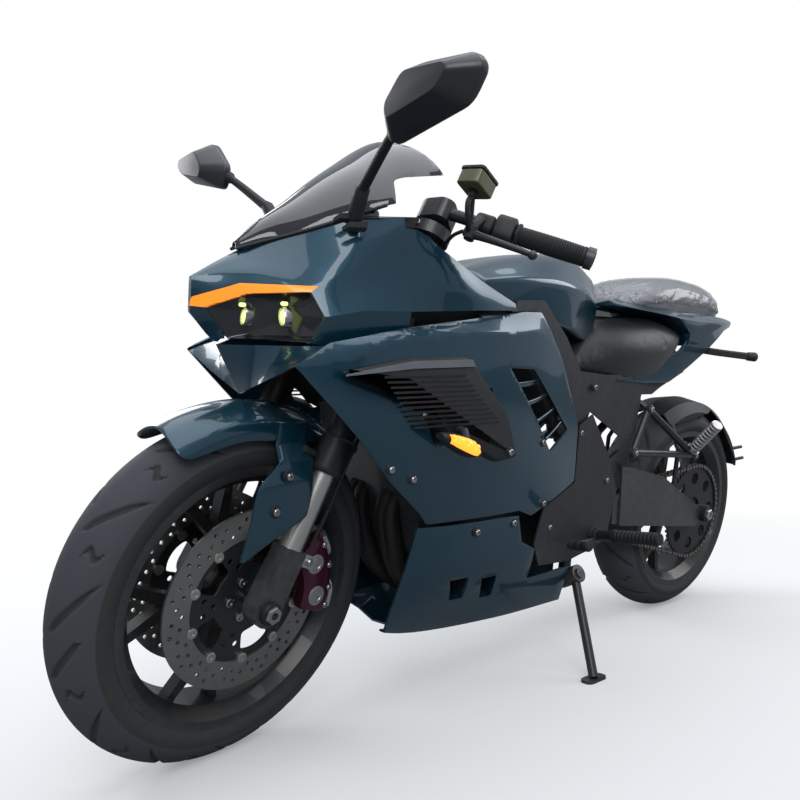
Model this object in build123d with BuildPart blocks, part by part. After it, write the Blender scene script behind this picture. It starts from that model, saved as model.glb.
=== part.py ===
from build123d import *
from math import sin, cos, tan, asin, sqrt, radians, degrees, pi
import os

# Sport bike parked on its side stand. Millimetres. Every piece is drawn on the upright, straight-steered
# machine: X forward, Y left, Z up, Z = 0 the road. save() then turns the steering and leans the machine
# over onto its stand, so the parts folder holds it as it parks.

# ---- Driving dimensions ----
front_axle_x = 700          # chassis datum to front axle
wheelbase = 1400
rake = 25                   # steering axis back from vertical, degrees
trail = 98
rest_steer = 9.8            # handlebars turned left as parked, degrees
lean = 10                   # to the left, onto the stand, degrees
wall = 4                    # moulded bodywork
screen_wall = 3
joint_gap = 0.3             # between bodywork pieces that meet

front_tyre_radius = 300     # 120/70-17
front_tyre_width = 118
rear_tyre_radius = 300      # 140/60-17
rear_tyre_width = 142
tyre_shoulder_radius = 243  # where the tread's arc meets the sidewall
rim_seat_radius = 216
rim_flange_radius = 227
rim_lip = 7
bead_share = 0.40           # half the rim's inner width, as a share of the tyre's width
tyre_gap = 0.3              # bead to rim
spoke_thickness = 24
hub_radius = 34
front_hub_width = 96
rear_hub_width = 148

axle_radius = 10
axle_bore_radius = 6        # both axles are hollow
axle_half_width = 136
rear_axle_half_width = 146
bearing_gap = 0.05
front_disc_radius = 155
front_disc_inner = 108
front_carrier_radius = 122
disc_thickness = 5
front_disc_y = 58           # centre plane of each front disc
rear_disc_radius = 110
rear_disc_inner = 72
rear_disc_y = -86
disc_clearance = 5
rear_caliper_half_width = 14
hugger_clearance = 18       # tyre to the guard's inside, over the tread
hugger_side_clearance = 7
hugger_radius = rear_tyre_radius + hugger_clearance
hugger_half_width = rear_tyre_width / 2 + hugger_side_clearance

fork_track = 204            # between the leg centres
fork_leg_x = 35             # ahead of the steering axis
inner_tube_radius = 20.5
outer_tube_radius = 26
outer_tube_bottom = 250     # heights along the steering axis, from the axle's level
outer_tube_top = 765
casting_top = 106
casting_half_width = 18
lower_yoke_z = 520
upper_yoke_z = 700
yoke_thickness = 30
stem_radius = 14

bar_root_y = 125
bar_level = 748
grip_tip_y = 360
bar_sweep = 133             # how far the bar end lies behind its root
bar_radius = 11
grip_radius = 17
grip_length = 125
reservoir_x = 92
reservoir_y = 212
reservoir_length = 52
reservoir_width = 46
reservoir_height = 26

caliper_inner_radius = 98
caliper_outer_radius = 176
caliper_start = 140         # degrees round the axle from straight ahead
caliper_sweep = 60
caliper_half_width = 36

fender_radius = front_tyre_radius + 10    # from the axle, to the shell's inside at its shoulders
fender_top = front_tyre_radius + 25       # and at its crown
fender_half_width = front_tyre_width / 2 + 7
fender_wall = 4

sprocket_teeth = 52
front_sprocket_teeth = 15
chain_pitch = 15.875
chain_y = 88
chain_width = 14
sprocket_thickness = 5
front_sprocket_x = -205
front_sprocket_z = 345
swing_pivot_x = -285
swing_pivot_z = 352
swing_arm_y = 113           # centre of each swingarm arm
swing_arm_width = 18
guard_wall = 5

stand_pivot = (-90, 150, 232)
stand_foot = (-33, 268)     # on the ground, from the chassis datum
stand_fold = 100            # degrees from down to folded back
stand_tube_radius = 10

# ---- Steering frame ----
rear_axle_x = front_axle_x - wheelbase
steer_up = Vector(-sin(radians(rake)), 0, cos(radians(rake)))
steer_forward = Vector(cos(radians(rake)), 0, sin(radians(rake)))
front_axle_point = Vector(front_axle_x, 0, front_tyre_radius)
rear_axle_point = Vector(rear_axle_x, 0, rear_tyre_radius)
steer_foot = Vector(front_axle_x + trail, 0, 0)
steer_origin = steer_foot + steer_up * (front_axle_point - steer_foot).dot(steer_up)
fork_axle_x = (front_axle_point - steer_origin).dot(steer_forward)
steering = Plane(origin=steer_origin, x_dir=steer_forward, z_dir=steer_up)
steer_turn = steering.location * Rotation(0, 0, rest_steer) * steering.location.inverse()
front_side = Plane(origin=front_axle_point, x_dir=(1, 0, 0), z_dir=(0, -1, 0))
rear_side = Plane(origin=rear_axle_point, x_dir=(1, 0, 0), z_dir=(0, -1, 0))
up = (Align.CENTER, Align.CENTER, Align.MIN)


def ring_and_tube(radius, width):
    """A tyre's round section: the ring its centre runs on, and the section's own radius."""
    depth = radius - tyre_shoulder_radius
    tube = ((width / 2) ** 2 + depth ** 2) / (2 * depth)
    return radius - tube, tube


def lowest(location, centre, radius, width):
    """Height of the lowest point of a tyre once the machine is placed by location."""
    ring, tube = ring_and_tube(radius, width)
    middle = (location * Location(centre)).position
    axle = (location * Location(centre + Vector(0, 1, 0))).position - middle
    return middle.Z - ring * sqrt(1 - axle.Z ** 2) - tube


# ---- Parked attitude: leaned, then pitched and lifted until both tyres touch the ground ----
pitch = 0
lift = 0
for step in range(4):
    parked = Location((0, 0, lift)) * Rotation(0, pitch, 0) * Rotation(-lean, 0, 0)
    front_low = lowest(parked * steer_turn, front_axle_point, front_tyre_radius, front_tyre_width)
    rear_low = lowest(parked, rear_axle_point, rear_tyre_radius, rear_tyre_width)
    pitch += degrees(asin((front_low - rear_low) / wheelbase))
    lift -= rear_low
footprint_middle = (-45, 188)  # middle of the parked machine's box, before it is made the origin
parked = Location((-footprint_middle[0], -footprint_middle[1], 0)) * parked
ground = Plane(parked.inverse())

# ---- Side stand's pivot: across the leg, so that the leg folds straight back ----
foot_x, foot_y = stand_foot[0] - footprint_middle[0], stand_foot[1] - footprint_middle[1]
stand_top = Vector(*stand_pivot)
foot_joint = ground.from_local_coords(Vector(foot_x, foot_y, 6))
stand_axis = (foot_joint - stand_top).cross(Vector(-1, 0.02, 0)).normalized()


def save(shape, label, steered=False):
    """Label a finished piece, park it and write its STEP file."""
    if steered:
        shape = shape.moved(steer_turn)
    shape = shape.moved(parked)
    shape.label = label
    export_step(shape, f"parts/{label}.step")


def skin(rows, shift, plane=Plane.YZ):
    """A moulded panel: each row is its station, then the crease points across it; shift gives the wall."""
    with BuildPart(mode=Mode.PRIVATE) as panel:
        for station, *line in rows:
            back = [(u + shift[0], v + shift[1]) for u, v in reversed(line)]
            with BuildSketch(plane.offset(station)):
                with BuildLine():
                    Polyline(*line, *back, close=True)
                make_face()
        loft(ruled=True)
    return panel.part


def body(rows, plane=Plane.YZ):
    """A closed faceted body: each row is its station, then the points of its left half, top to bottom."""
    with BuildPart(mode=Mode.PRIVATE) as solid:
        for station, *line in rows:
            right = [(-u, v) for u, v in reversed(line) if u]
            with BuildSketch(plane.offset(station)):
                with BuildLine():
                    Polyline(*line, *right, close=True)
                make_face()
        loft(ruled=True)
    return solid.part


def prism(points, low, high):
    """A flat outline in the side view (X, Z), run across from Y = low to Y = high."""
    with BuildPart(mode=Mode.PRIVATE) as solid:
        with BuildSketch(Plane.XZ.offset(-low)):
            with BuildLine():
                Polyline(*points, close=True)
            make_face()
        extrude(amount=low - high)
    return solid.part


def front_prism(points, low, high):
    """A flat outline in the front view (Y, Z), run along from X = low to X = high."""
    with BuildPart(mode=Mode.PRIVATE) as solid:
        with BuildSketch(Plane.YZ.offset(low)):
            with BuildLine():
                Polyline(*points, close=True)
            make_face()
        extrude(amount=high - low)
    return solid.part


def rod(start, end, radius, bore=0):
    """A round bar or tube between two points."""
    start, end = Vector(*start), Vector(*end)
    run = end - start
    with BuildPart(Plane(origin=start, z_dir=run), mode=Mode.PRIVATE) as bar:
        Cylinder(radius, run.length, align=up)
        if bore:
            Cylinder(bore, run.length, align=up, mode=Mode.SUBTRACT)
    return bar.part


def beside(start, end, point, distance):
    """The spot this far from a straight tube's axis, square out towards a point."""
    start, end, point = Vector(*start), Vector(*end), Vector(*point)
    along = (end - start).normalized()
    foot = start + along * (point - start).dot(along)
    return foot + (point - foot).normalized() * distance


os.makedirs("parts", exist_ok=True)

# ---- Wheels ----


def tyre(centre, radius, width):
    """Round-section motorcycle tyre: tread and sidewall in one arc, closed against the rim."""
    bead = width * bead_share
    inner = rim_seat_radius + tyre_gap
    flange = rim_flange_radius + tyre_gap
    with BuildPart(mode=Mode.PRIVATE) as carcass:
        with BuildSketch(Plane.XY):
            with BuildLine():
                ThreePointArc((tyre_shoulder_radius, -width / 2), (radius, 0), (tyre_shoulder_radius, width / 2))
                Polyline((tyre_shoulder_radius, width / 2), (flange, bead + rim_lip), (flange, bead), (inner, bead),
                         (inner, -bead), (flange, -bead), (flange, -bead - rim_lip),
                         (tyre_shoulder_radius, -width / 2))
            make_face()
        revolve(axis=Axis.Y)
    return carcass.part.moved(Location(centre))


def wheel_rim(centre, width, hub_width, spoke_count=5):
    """Cast wheel: drop-centre rim, hub with axle bore, and spokes that split in two towards the rim."""
    bead = width * bead_share + tyre_gap
    flange = bead + rim_lip
    well = rim_seat_radius - 16
    with BuildPart(mode=Mode.PRIVATE) as wheel:
        with BuildSketch(Plane.XY):
            with BuildLine():
                Polyline((rim_seat_radius, bead), (rim_flange_radius, bead), (rim_flange_radius, flange),
                         (rim_seat_radius - 4, flange), (well - 5, bead - 16), (well - 5, 16 - bead),
                         (rim_seat_radius - 4, -flange), (rim_flange_radius, -flange), (rim_flange_radius, -bead),
                         (rim_seat_radius, -bead), (rim_seat_radius - 3, 12 - bead), (well, 20 - bead),
                         (well, bead - 20), (rim_seat_radius - 3, bead - 12), close=True)
            make_face()
        revolve(axis=Axis.Y)
        with BuildSketch(Plane.XZ):
            Circle(hub_radius + 10)
            with BuildLine(mode=Mode.PRIVATE) as spoke:
                Polyline((hub_radius, -14), (104, -12), (well - 2, -54), (well - 2, -38), (126, 0),
                         (well - 2, 38), (well - 2, 54), (104, 12), (hub_radius, 14), close=True)
            for index in range(spoke_count):
                make_face(spoke.line.rotate(Axis.Z, index * 360 / spoke_count))
        extrude(amount=spoke_thickness / 2, both=True)
        with Locations(Rotation(90, 0, 0)):
            Cylinder(hub_radius, hub_width)
            Cylinder(axle_radius + bearing_gap, hub_width, mode=Mode.SUBTRACT)
    return wheel.part.moved(Location(centre))


def disc_ring(plane, side_y, outer, inner):
    """A flat brake disc band centred on side_y."""
    with BuildPart(mode=Mode.PRIVATE) as band:
        with BuildSketch(plane.offset(-side_y)):
            Circle(outer)
            Circle(inner, mode=Mode.SUBTRACT)
        extrude(amount=disc_thickness / 2, both=True)
    return band.part


def disc_carrier(plane, hub_y, disc_face_y, reach, root):
    """Five-armed carrier between the hub's end and the disc's inner face."""
    with BuildPart(mode=Mode.PRIVATE) as carrier:
        with BuildSketch(plane.offset(-hub_y)):
            Circle(root)
            for index in range(5):
                with BuildLine(mode=Mode.PRIVATE) as arm:
                    Polyline((root - 12, -20), (reach, -9), (reach, 9), (root - 12, 20), close=True)
                make_face(arm.line.rotate(Axis.Z, index * 72))
            Circle(axle_radius + 8, mode=Mode.SUBTRACT)
        extrude(amount=hub_y - disc_face_y)
    return carrier.part


with BuildPart() as front_tyre:
    add(tyre(front_axle_point, front_tyre_radius, front_tyre_width))
save(front_tyre.part, "front_tyre", steered=True)

with BuildPart() as rear_tyre:
    add(tyre(rear_axle_point, rear_tyre_radius, rear_tyre_width))
save(rear_tyre.part, "rear_tyre")

with BuildPart() as front_rim:
    add(wheel_rim(front_axle_point, front_tyre_width, front_hub_width))
save(front_rim.part, "front_rim", steered=True)

with BuildPart() as rear_rim:
    add(wheel_rim(rear_axle_point, rear_tyre_width, rear_hub_width))
save(rear_rim.part, "rear_rim")

with BuildPart() as front_discs:
    for side in (-1, 1):
        hub_end = side * front_hub_width / 2
        inner_face = side * (front_disc_y - disc_thickness / 2)
        add(disc_ring(front_side, side * front_disc_y, front_disc_radius, front_disc_inner))
        add(disc_carrier(front_side, hub_end, inner_face, front_carrier_radius, 66))
save(front_discs.part, "front_discs", steered=True)

sprocket_pitch_radius = chain_pitch / (2 * sin(pi / sprocket_teeth))
sprocket_root_radius = sprocket_pitch_radius - 5
with BuildPart() as rear_sprocket:
    with BuildSketch(rear_side.offset(-chain_y)):
        Circle(sprocket_root_radius)
        with PolarLocations(sprocket_root_radius + 2, sprocket_teeth):
            Rectangle(9, 6)
        Circle(hub_radius + 6, mode=Mode.SUBTRACT)
        with PolarLocations(94, 8):
            Circle(17, mode=Mode.SUBTRACT)
    extrude(amount=sprocket_thickness / 2, both=True)
    with BuildSketch(rear_side.offset(-rear_hub_width / 2)):
        Circle(68)
        Circle(axle_radius + 8, mode=Mode.SUBTRACT)
    extrude(amount=rear_hub_width / 2 - chain_y + sprocket_thickness / 2)
save(rear_sprocket.part, "rear_sprocket")

with BuildPart() as rear_disc:
    add(disc_ring(rear_side, rear_disc_y, rear_disc_radius, rear_disc_inner))
    add(disc_carrier(rear_side, -rear_hub_width / 2, rear_disc_y + disc_thickness / 2, rear_disc_inner + 12, 50))
save(rear_disc.part, "rear_disc")

# ---- Steering group: drawn in the steering frame, x ahead of the axis, z up along it ----
leg_y = fork_track / 2
legs = [(fork_leg_x, -leg_y), (fork_leg_x, leg_y)]
casting_face = leg_y + casting_half_width

with BuildPart() as front_axle:
    for side, radius, start, end in ((1, axle_radius, -axle_half_width, axle_half_width),
                                     (1, 17, casting_face, axle_half_width - 6),
                                     (1, 15, -axle_half_width, -casting_face)):
        add(rod((front_axle_x, start, front_tyre_radius), (front_axle_x, end, front_tyre_radius), radius))
    with Locations(Location(front_axle_point) * Rotation(90, 0, 0)):
        Cylinder(axle_bore_radius, 2 * axle_half_width, mode=Mode.SUBTRACT)
save(front_axle.part, "front_axle", steered=True)

with BuildPart(steering) as fork_outer_tubes:
    with Locations(*[(x, y, outer_tube_bottom) for x, y in legs]):
        Cylinder(outer_tube_radius, outer_tube_top - outer_tube_bottom, align=up)
        Cylinder(outer_tube_radius + 4, 52, align=up)
save(fork_outer_tubes.part, "fork_outer_tubes", steered=True)

with BuildPart(steering) as fork_inner_tubes:
    with Locations(*[(x, y, casting_top) for x, y in legs]):
        Cylinder(inner_tube_radius, outer_tube_bottom - casting_top, align=up)
save(fork_inner_tubes.part, "fork_inner_tubes", steered=True)

with BuildPart() as fork_bottoms:
    for x, y in legs:
        leg_plane = Plane(steering.origin + Vector(0, y, 0), x_dir=steer_forward, z_dir=(0, -1, 0))
        with BuildSketch(leg_plane):
            with Locations((fork_axle_x, 0)):
                Circle(27)
            with Locations((x, casting_top - 12)):
                Rectangle(48, 24)
            make_hull()
        extrude(amount=casting_half_width, both=True)
    with Locations(Location(front_axle_point) * Rotation(90, 0, 0)):
        Cylinder(axle_radius + bearing_gap, 2 * fork_track, mode=Mode.SUBTRACT)
save(fork_bottoms.part, "fork_bottoms", steered=True)

with BuildPart() as yokes:
    for level, thickness in ((lower_yoke_z, yoke_thickness), (upper_yoke_z, yoke_thickness - 8)):
        with BuildSketch(steering.offset(level)):
            with Locations(*legs):
                Circle(outer_tube_radius + 13)
            Circle(30)
            make_hull()
            with Locations(*legs):
                Circle(outer_tube_radius + bearing_gap, mode=Mode.SUBTRACT)
        extrude(amount=thickness)
    add(rod(steering.from_local_coords((0, 0, lower_yoke_z)),
            steering.from_local_coords((0, 0, upper_yoke_z + yoke_thickness)), stem_radius))
save(yokes.part, "yokes", steered=True)

# Handlebar halves: a clamp on each tube and a bar swept back to the grip
bar_root = steering.from_local_coords(Vector(fork_leg_x + 20, bar_root_y, bar_level))
bar_tip = steering.from_local_coords(Vector(fork_leg_x + 20 - bar_sweep, grip_tip_y, bar_level))
bar_run = (bar_tip - bar_root).normalized()
bar_length = (bar_tip - bar_root).length
grip_start = bar_length - 4 - grip_length


def along_bar(distance, radius, length, bore=0):
    """A round piece on the left bar, starting this far from the bar's root."""
    start = bar_root + bar_run * distance
    return rod(start, start + bar_run * length, radius, bore)


with BuildPart() as handlebars:
    with BuildSketch(steering.offset(bar_level - 18)):
        with Locations((fork_leg_x, leg_y)):
            Circle(outer_tube_radius + 9)
        with Locations((fork_leg_x + 20, bar_root_y + 4)):
            Circle(18)
        make_hull()
        with Locations((fork_leg_x, leg_y)):
            Circle(outer_tube_radius + bearing_gap, mode=Mode.SUBTRACT)
    extrude(amount=36)
    add(along_bar(12, bar_radius, bar_length - 16))
    add(along_bar(bar_length - 4, grip_radius + 2, 14))
    mirror(about=Plane.XZ)
save(handlebars.part, "handlebars", steered=True)

with BuildPart() as grips:
    add(along_bar(grip_start, grip_radius, grip_length, bar_radius + bearing_gap))
    mirror(about=Plane.XZ)
save(grips.part, "grips", steered=True)

# Switch boxes and lever perches on the bar, with the levers ahead of the grips
lever_root = steering.from_local_coords(Vector(52, 204, bar_level - 40))
lever_tip = steering.from_local_coords(Vector(14, 318, bar_level - 54))
with BuildPart() as hand_controls:
    add(along_bar(grip_start - 40, 24, 38, bar_radius + bearing_gap))
    add(along_bar(grip_start - 78, 18, 38, bar_radius + bearing_gap))
    add(rod(bar_root + bar_run * (grip_start - 60) + steer_forward * 20, lever_root, 8))
    add(rod(lever_root - (lever_tip - lever_root) * 0.08, lever_root + (lever_tip - lever_root) * 0.2, 11))
    add(rod(lever_root, lever_tip, 6))
    mirror(about=Plane.XZ)
save(hand_controls.part, "hand_controls", steered=True)

with BuildPart() as brake_reservoir:
    for level, height, overhang in ((bar_level + 16, reservoir_height, 0), (bar_level + 16 + reservoir_height, 6, 3)):
        with BuildSketch(steering.offset(level)):
            with Locations((reservoir_x, reservoir_y)):
                RectangleRounded(reservoir_length + overhang, reservoir_width + overhang, 6)
        extrude(amount=height)
    add(rod(steering.from_local_coords(Vector(reservoir_x - 10, reservoir_y - 10, bar_level + 17)),
            steering.from_local_coords(Vector(reservoir_x - 38.1, reservoir_y - 16, bar_level - 16.1)), 6))
save(brake_reservoir.part, "brake_reservoir", steered=True)

# Front calipers: a block bent round the disc's edge, bolted to an ear of each casting
with BuildPart() as front_calipers:
    for side in (-1, 1):
        with BuildSketch(front_side.offset(-side * (front_disc_y - caliper_half_width))):
            with BuildLine():
                inner_arc = CenterArc((0, 0), caliper_inner_radius, caliper_start, caliper_sweep)
                outer_arc = CenterArc((0, 0), caliper_outer_radius, caliper_start, caliper_sweep)
                Line(inner_arc @ 0, outer_arc @ 0)
                Line(inner_arc @ 1, outer_arc @ 1)
            make_face()
        extrude(amount=-side * 2 * caliper_half_width)
        with BuildSketch(front_side.offset(-side * (front_disc_y - disc_thickness / 2 - disc_clearance))):
            Circle(front_disc_radius + disc_clearance)
        extrude(amount=-side * (disc_thickness + 2 * disc_clearance), mode=Mode.SUBTRACT)
        with BuildSketch(front_side.offset(-side * (front_hub_width / 2 - disc_clearance))):
            Circle(front_carrier_radius + disc_clearance)
        extrude(amount=-side * 2 * disc_clearance, mode=Mode.SUBTRACT)
        lug = steering.from_local_coords(Vector(fork_leg_x - 44.2, side * (leg_y - 2), casting_top - 12))
        with Locations(Location(Plane(lug, x_dir=steer_forward, z_dir=steer_up))):
            Box(40, 16, 22)
save(front_calipers.part, "front_calipers", steered=True)

# Front fender: a crowned shell round the tyre, flaring into a plate ahead of each fork leg.
# Side-view outlines are from the axle: the shell's window, then each plate's front and rear edge by height.
fender_window = [(155, 250), (140, 420), (-215, 420), (-235, 255), (-60, 268), (40, 278)]
plate_columns = ("height", "front x", "rear x", "y")
plate_rows = [(100, 66, 58, 124), (155, 52, -59, 122), (212, 38, -71, 116), (245, -8, -76, 104), (268, -20, -84, 74),
              (300, -30, -90, 69)]
boss_level = 264
with BuildPart() as front_fender:
    for grow, mode in ((fender_wall, Mode.ADD), (0, Mode.SUBTRACT)):
        with BuildSketch(Plane.XY):
            with BuildLine():
                Polyline((0, -fender_half_width - grow), (fender_radius - 40, -fender_half_width - grow),
                         (fender_radius - 8 + grow, -fender_half_width + 8 - grow), (fender_top - 4 + grow, -24),
                         (fender_top + grow, 0), (fender_top - 4 + grow, 24),
                         (fender_radius - 8 + grow, fender_half_width - 8 + grow),
                         (fender_radius - 40, fender_half_width + grow), (0, fender_half_width + grow), close=True)
            make_face()
        revolve(axis=Axis.Y, mode=mode)
    add(prism(fender_window, -200, 200), mode=Mode.INTERSECT)
    add(skin([(z, (front, y), (rear, y)) for z, front, rear, y in plate_rows], (0, -fender_wall), Plane.XY))
    boss_start = steering.from_local_coords(Vector(fork_leg_x + outer_tube_radius + 4.4, leg_y - 10, boss_level))
    boss_end = steering.from_local_coords(Vector(fork_leg_x + outer_tube_radius + 28, leg_y - 10, boss_level))
    add(rod(boss_start - front_axle_point, boss_end - front_axle_point, 6))
    mirror(about=Plane.XZ)
front_fender = front_fender.part.moved(Location(front_axle_point))
save(front_fender, "front_fender", steered=True)

# ---- Chassis ----
head_low = steering.from_local_coords(Vector(0, 0, lower_yoke_z + yoke_thickness + 5))
head_high = steering.from_local_coords(Vector(0, 0, upper_yoke_z - 5))
beam_rows = [  # x, y of the beam's middle, bottom z, top z
    (395, 30, 800, 872), (300, 72, 745, 832), (150, 108, 660, 765), (-20, 108, 565, 680), (-150, 72, 440, 590),
    (-215, 67, 330, 470), (-310, 67, 322, 386)]
beam_thickness = 18
subframe_tube = 10
with BuildPart() as frame:
    add(rod(head_low, head_high, stem_radius + 18))
    for side in (1, -1):
        rows = [(x, (side * y + beam_thickness / 2, top), (side * y + beam_thickness / 2, low))
                for x, y, low, top in beam_rows]
        add(skin(rows, (-beam_thickness, 0)))
        add(rod((-60, side * 100, 600), (-420, side * 92, 690), subframe_tube))
        add(rod((-420, side * 92, 690), (-760, side * 45, 790), subframe_tube))
        add(rod((-150, side * 84, 500), (-420, side * 92, 690), subframe_tube))
    add(rod((-420, -92, 690), (-420, 92, 690), subframe_tube))
    add(rod((-745, -47, 786), (-745, 47, 786), subframe_tube))
    add(rod((-138, -67, 594), (-138, 67, 594), 14))
    add(rod((swing_pivot_x, -80, swing_pivot_z), (swing_pivot_x, 80, swing_pivot_z), 15 + bearing_gap),
        mode=Mode.SUBTRACT)
    add(rod((120, -108, 700), (120, 108, 700), 14))
    add(rod(head_low - steer_up * 20, head_high + steer_up * 20, stem_radius + bearing_gap), mode=Mode.SUBTRACT)
    add(rod((-160, 71, 440), stand_top - stand_axis * 36, 14))
    for side in (1, -1):
        low, high = (100.3, 112) if side > 0 else (-112, -100.3)
        add(prism([(80, 640), (120, 665), (130, 500), (90, 500)], low, high))
    add(rod((426, 0, 854.5), (590, 0, 893), 12))
    add(rod((590, 0, 885), (590, 0, 920), 8))
    for radius, start, end in ((20, -42, -14.3), (6, -16, 18), (11, 14.3, 19)):
        add(rod(stand_top + stand_axis * start, stand_top + stand_axis * end, radius))
save(frame.part, "frame")

engine_outline = [(-75, 225), (245, 225), (245, 330), (215, 560), (70, 560), (60, 420), (-75, 420)]
with BuildPart() as engine_block:
    add(prism(engine_outline, -100, 100))
save(engine_block.part, "engine_block")

radiator_outline = [(322, 330), (352, 330), (440, 600), (410, 600)]
with BuildPart() as radiator:
    add(prism(radiator_outline, -140, 140))
    for low in (-96, 84):
        add(prism([(245.3, 300), (245.3, 320), (330, 354), (340, 332)], low, low + 12))
save(radiator.part, "radiator")

# Swingarm: two tapering arms outside the chain, a cross tube, a pivot tube and a wide guard plate on the left
arm_face = swing_arm_y + swing_arm_width / 2
arm_rows = [(swing_pivot_x + 26, 322, 382), (-345, 312, 400), (-520, rear_tyre_radius - 4, rear_tyre_radius + 72),
            (rear_axle_x + 40, rear_tyre_radius - 26, rear_tyre_radius + 26),
            (rear_axle_x - 42, rear_tyre_radius - 18, rear_tyre_radius + 18)]
guard_outline = [(-275, 465), (-330, 458), (-470, 424), (rear_axle_x + 8, rear_tyre_radius + 10),
                 (rear_axle_x + 36, rear_tyre_radius - 32), (-286, 316)]
with BuildPart() as swingarm:
    for side in (1, -1):
        outer = side * swing_arm_y + swing_arm_width / 2
        add(skin([(x, (outer, top), (outer, low)) for x, low, top in arm_rows], (-swing_arm_width, 0)))
    add(rod((swing_pivot_x, -swing_arm_y, swing_pivot_z), (swing_pivot_x, swing_arm_y, swing_pivot_z), 15))
    add(rod((-345, -swing_arm_y, swing_pivot_z), (-345, swing_arm_y, swing_pivot_z), 22))
    add(prism(guard_outline, arm_face, arm_face + guard_wall))
    add(rod((rear_axle_x, arm_face, rear_tyre_radius), (rear_axle_x, arm_face + guard_wall, rear_tyre_radius), 22),
        mode=Mode.SUBTRACT)
    add(rod((rear_axle_x, -arm_face, rear_tyre_radius), (rear_axle_x, arm_face, rear_tyre_radius),
            axle_radius + bearing_gap), mode=Mode.SUBTRACT)
save(swingarm.part, "swingarm")

# Chain: one fixed loop of two plate bands round both sprockets, joined by pins along its straight runs
front_pitch_radius = chain_pitch / (2 * sin(pi / front_sprocket_teeth))
link_half_height = 7
with BuildPart() as chain:
    sprocket_x = front_sprocket_x - rear_axle_x
    sprocket_z = front_sprocket_z - rear_tyre_radius
    for side in (-1, 1):
        band_y = chain_y + side * (sprocket_thickness / 2 + 1)
        with BuildSketch(rear_side.offset(-band_y)):
            for grow, mode in ((link_half_height, Mode.ADD), (-link_half_height, Mode.SUBTRACT)):
                with BuildSketch(mode=mode):
                    Circle(sprocket_pitch_radius + grow)
                    with Locations((sprocket_x, sprocket_z)):
                        Circle(front_pitch_radius + grow)
                    make_hull()
        extrude(amount=-side * 3)
    run = Vector(sprocket_x, sprocket_z)
    tilt = asin((sprocket_pitch_radius - front_pitch_radius) / run.length)
    for side in (-1, 1):
        normal = Vector(-run.Y, run.X).normalized() * side
        across = normal * cos(tilt) + run.normalized() * sin(tilt)
        start, end = across * sprocket_pitch_radius, run + across * front_pitch_radius
        for share in (0.15, 0.3, 0.45, 0.6, 0.75, 0.9):
            pin = start + (end - start) * share
            add(rod((rear_axle_x + pin.X, chain_y - 6, rear_tyre_radius + pin.Y),
                    (rear_axle_x + pin.X, chain_y + 6, rear_tyre_radius + pin.Y), 4))
save(chain.part, "chain")

with BuildPart() as rear_axle:
    for radius, start, end in ((axle_radius, -rear_axle_half_width, rear_axle_half_width),
                               (16, arm_face, rear_axle_half_width - 8), (16, -rear_axle_half_width + 8, -arm_face)):
        add(rod((rear_axle_x, start, rear_tyre_radius), (rear_axle_x, end, rear_tyre_radius), radius))
    with Locations(Location(rear_axle_point) * Rotation(90, 0, 0)):
        Cylinder(axle_bore_radius, 2 * rear_axle_half_width, mode=Mode.SUBTRACT)
save(rear_axle.part, "rear_axle")

shock_low = Vector(-329, 0, 370)
shock_run = Vector(-147.15, 0, 583) - shock_low
with BuildPart() as rear_shock:
    for start, end, radius in ((0, 1, 9), (0.12, 0.86, 27)):
        add(rod(shock_low + shock_run * start, shock_low + shock_run * end, radius))
save(rear_shock.part, "rear_shock")

# Rear caliper over the disc's front edge, its bracket round the axle inside the right arm
with BuildPart() as rear_caliper:
    caliper_face = rear_disc_y + rear_caliper_half_width
    with BuildSketch(rear_side.offset(-caliper_face)):
        with BuildLine():
            inner_arc = CenterArc((0, 0), rear_disc_inner + 16, -8, 52)
            outer_arc = CenterArc((0, 0), rear_disc_radius + 16, -8, 52)
            Line(inner_arc @ 0, outer_arc @ 0)
            Line(inner_arc @ 1, outer_arc @ 1)
        make_face()
    extrude(amount=2 * rear_caliper_half_width)
    with BuildSketch(rear_side.offset(-rear_disc_y - disc_thickness / 2 - disc_clearance)):
        Circle(rear_disc_radius + disc_clearance)
    extrude(amount=disc_thickness + 2 * disc_clearance, mode=Mode.SUBTRACT)
    with BuildSketch(rear_side.offset(swing_arm_y - swing_arm_width / 2)):
        Circle(26)
        with BuildLine():
            Polyline((0, -20), (70, -10), (74, 50), (0, 22), close=True)
        make_face()
    extrude(amount=-(swing_arm_y - swing_arm_width / 2 + rear_disc_y - disc_thickness / 2 - disc_clearance))
    with Locations(Location(rear_axle_point) * Rotation(90, 0, 0)):
        Cylinder(axle_radius + bearing_gap, 2 * rear_axle_half_width, mode=Mode.SUBTRACT)
save(rear_caliper.part, "rear_caliper")

# Rear hugger: a curved guard over the tyre that carries the licence-plate bracket on two tabs
hugger_window = [(140, 250), (140, 420), (-420, 420), (-420, 110), (-270, 110), (-100, 288)]
with BuildPart() as rear_hugger:
    for grow, mode in ((wall, Mode.ADD), (0, Mode.SUBTRACT)):
        with BuildSketch(Plane.XY):
            with BuildLine():
                Polyline((0, -hugger_half_width - grow), (hugger_radius - 34, -hugger_half_width - grow),
                         (hugger_radius - 10 + grow, -56), (hugger_radius + grow, 0), (hugger_radius - 10 + grow, 56),
                         (hugger_radius - 34, hugger_half_width + grow), (0, hugger_half_width + grow), close=True)
            make_face()
        revolve(axis=Axis.Y, mode=mode)
    add(prism(hugger_window, -200, 200), mode=Mode.INTERSECT)
    for x, z in ((-268, 155), (-287, 118)):
        add(rod((x, 40, z), (x - 100, 40, z + 4), 5))
        add(rod((x, -40, z), (x - 100, -40, z + 4), 5))
    for side in (-1, 1):
        add(rod((136, side * 79, 254), (144, side * 110, 190), 6))
        add(rod((144, side * 110, 190), (150, side * 110, 64.5), 6))
save(rear_hugger.part.moved(Location(rear_axle_point)), "rear_hugger")

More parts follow.
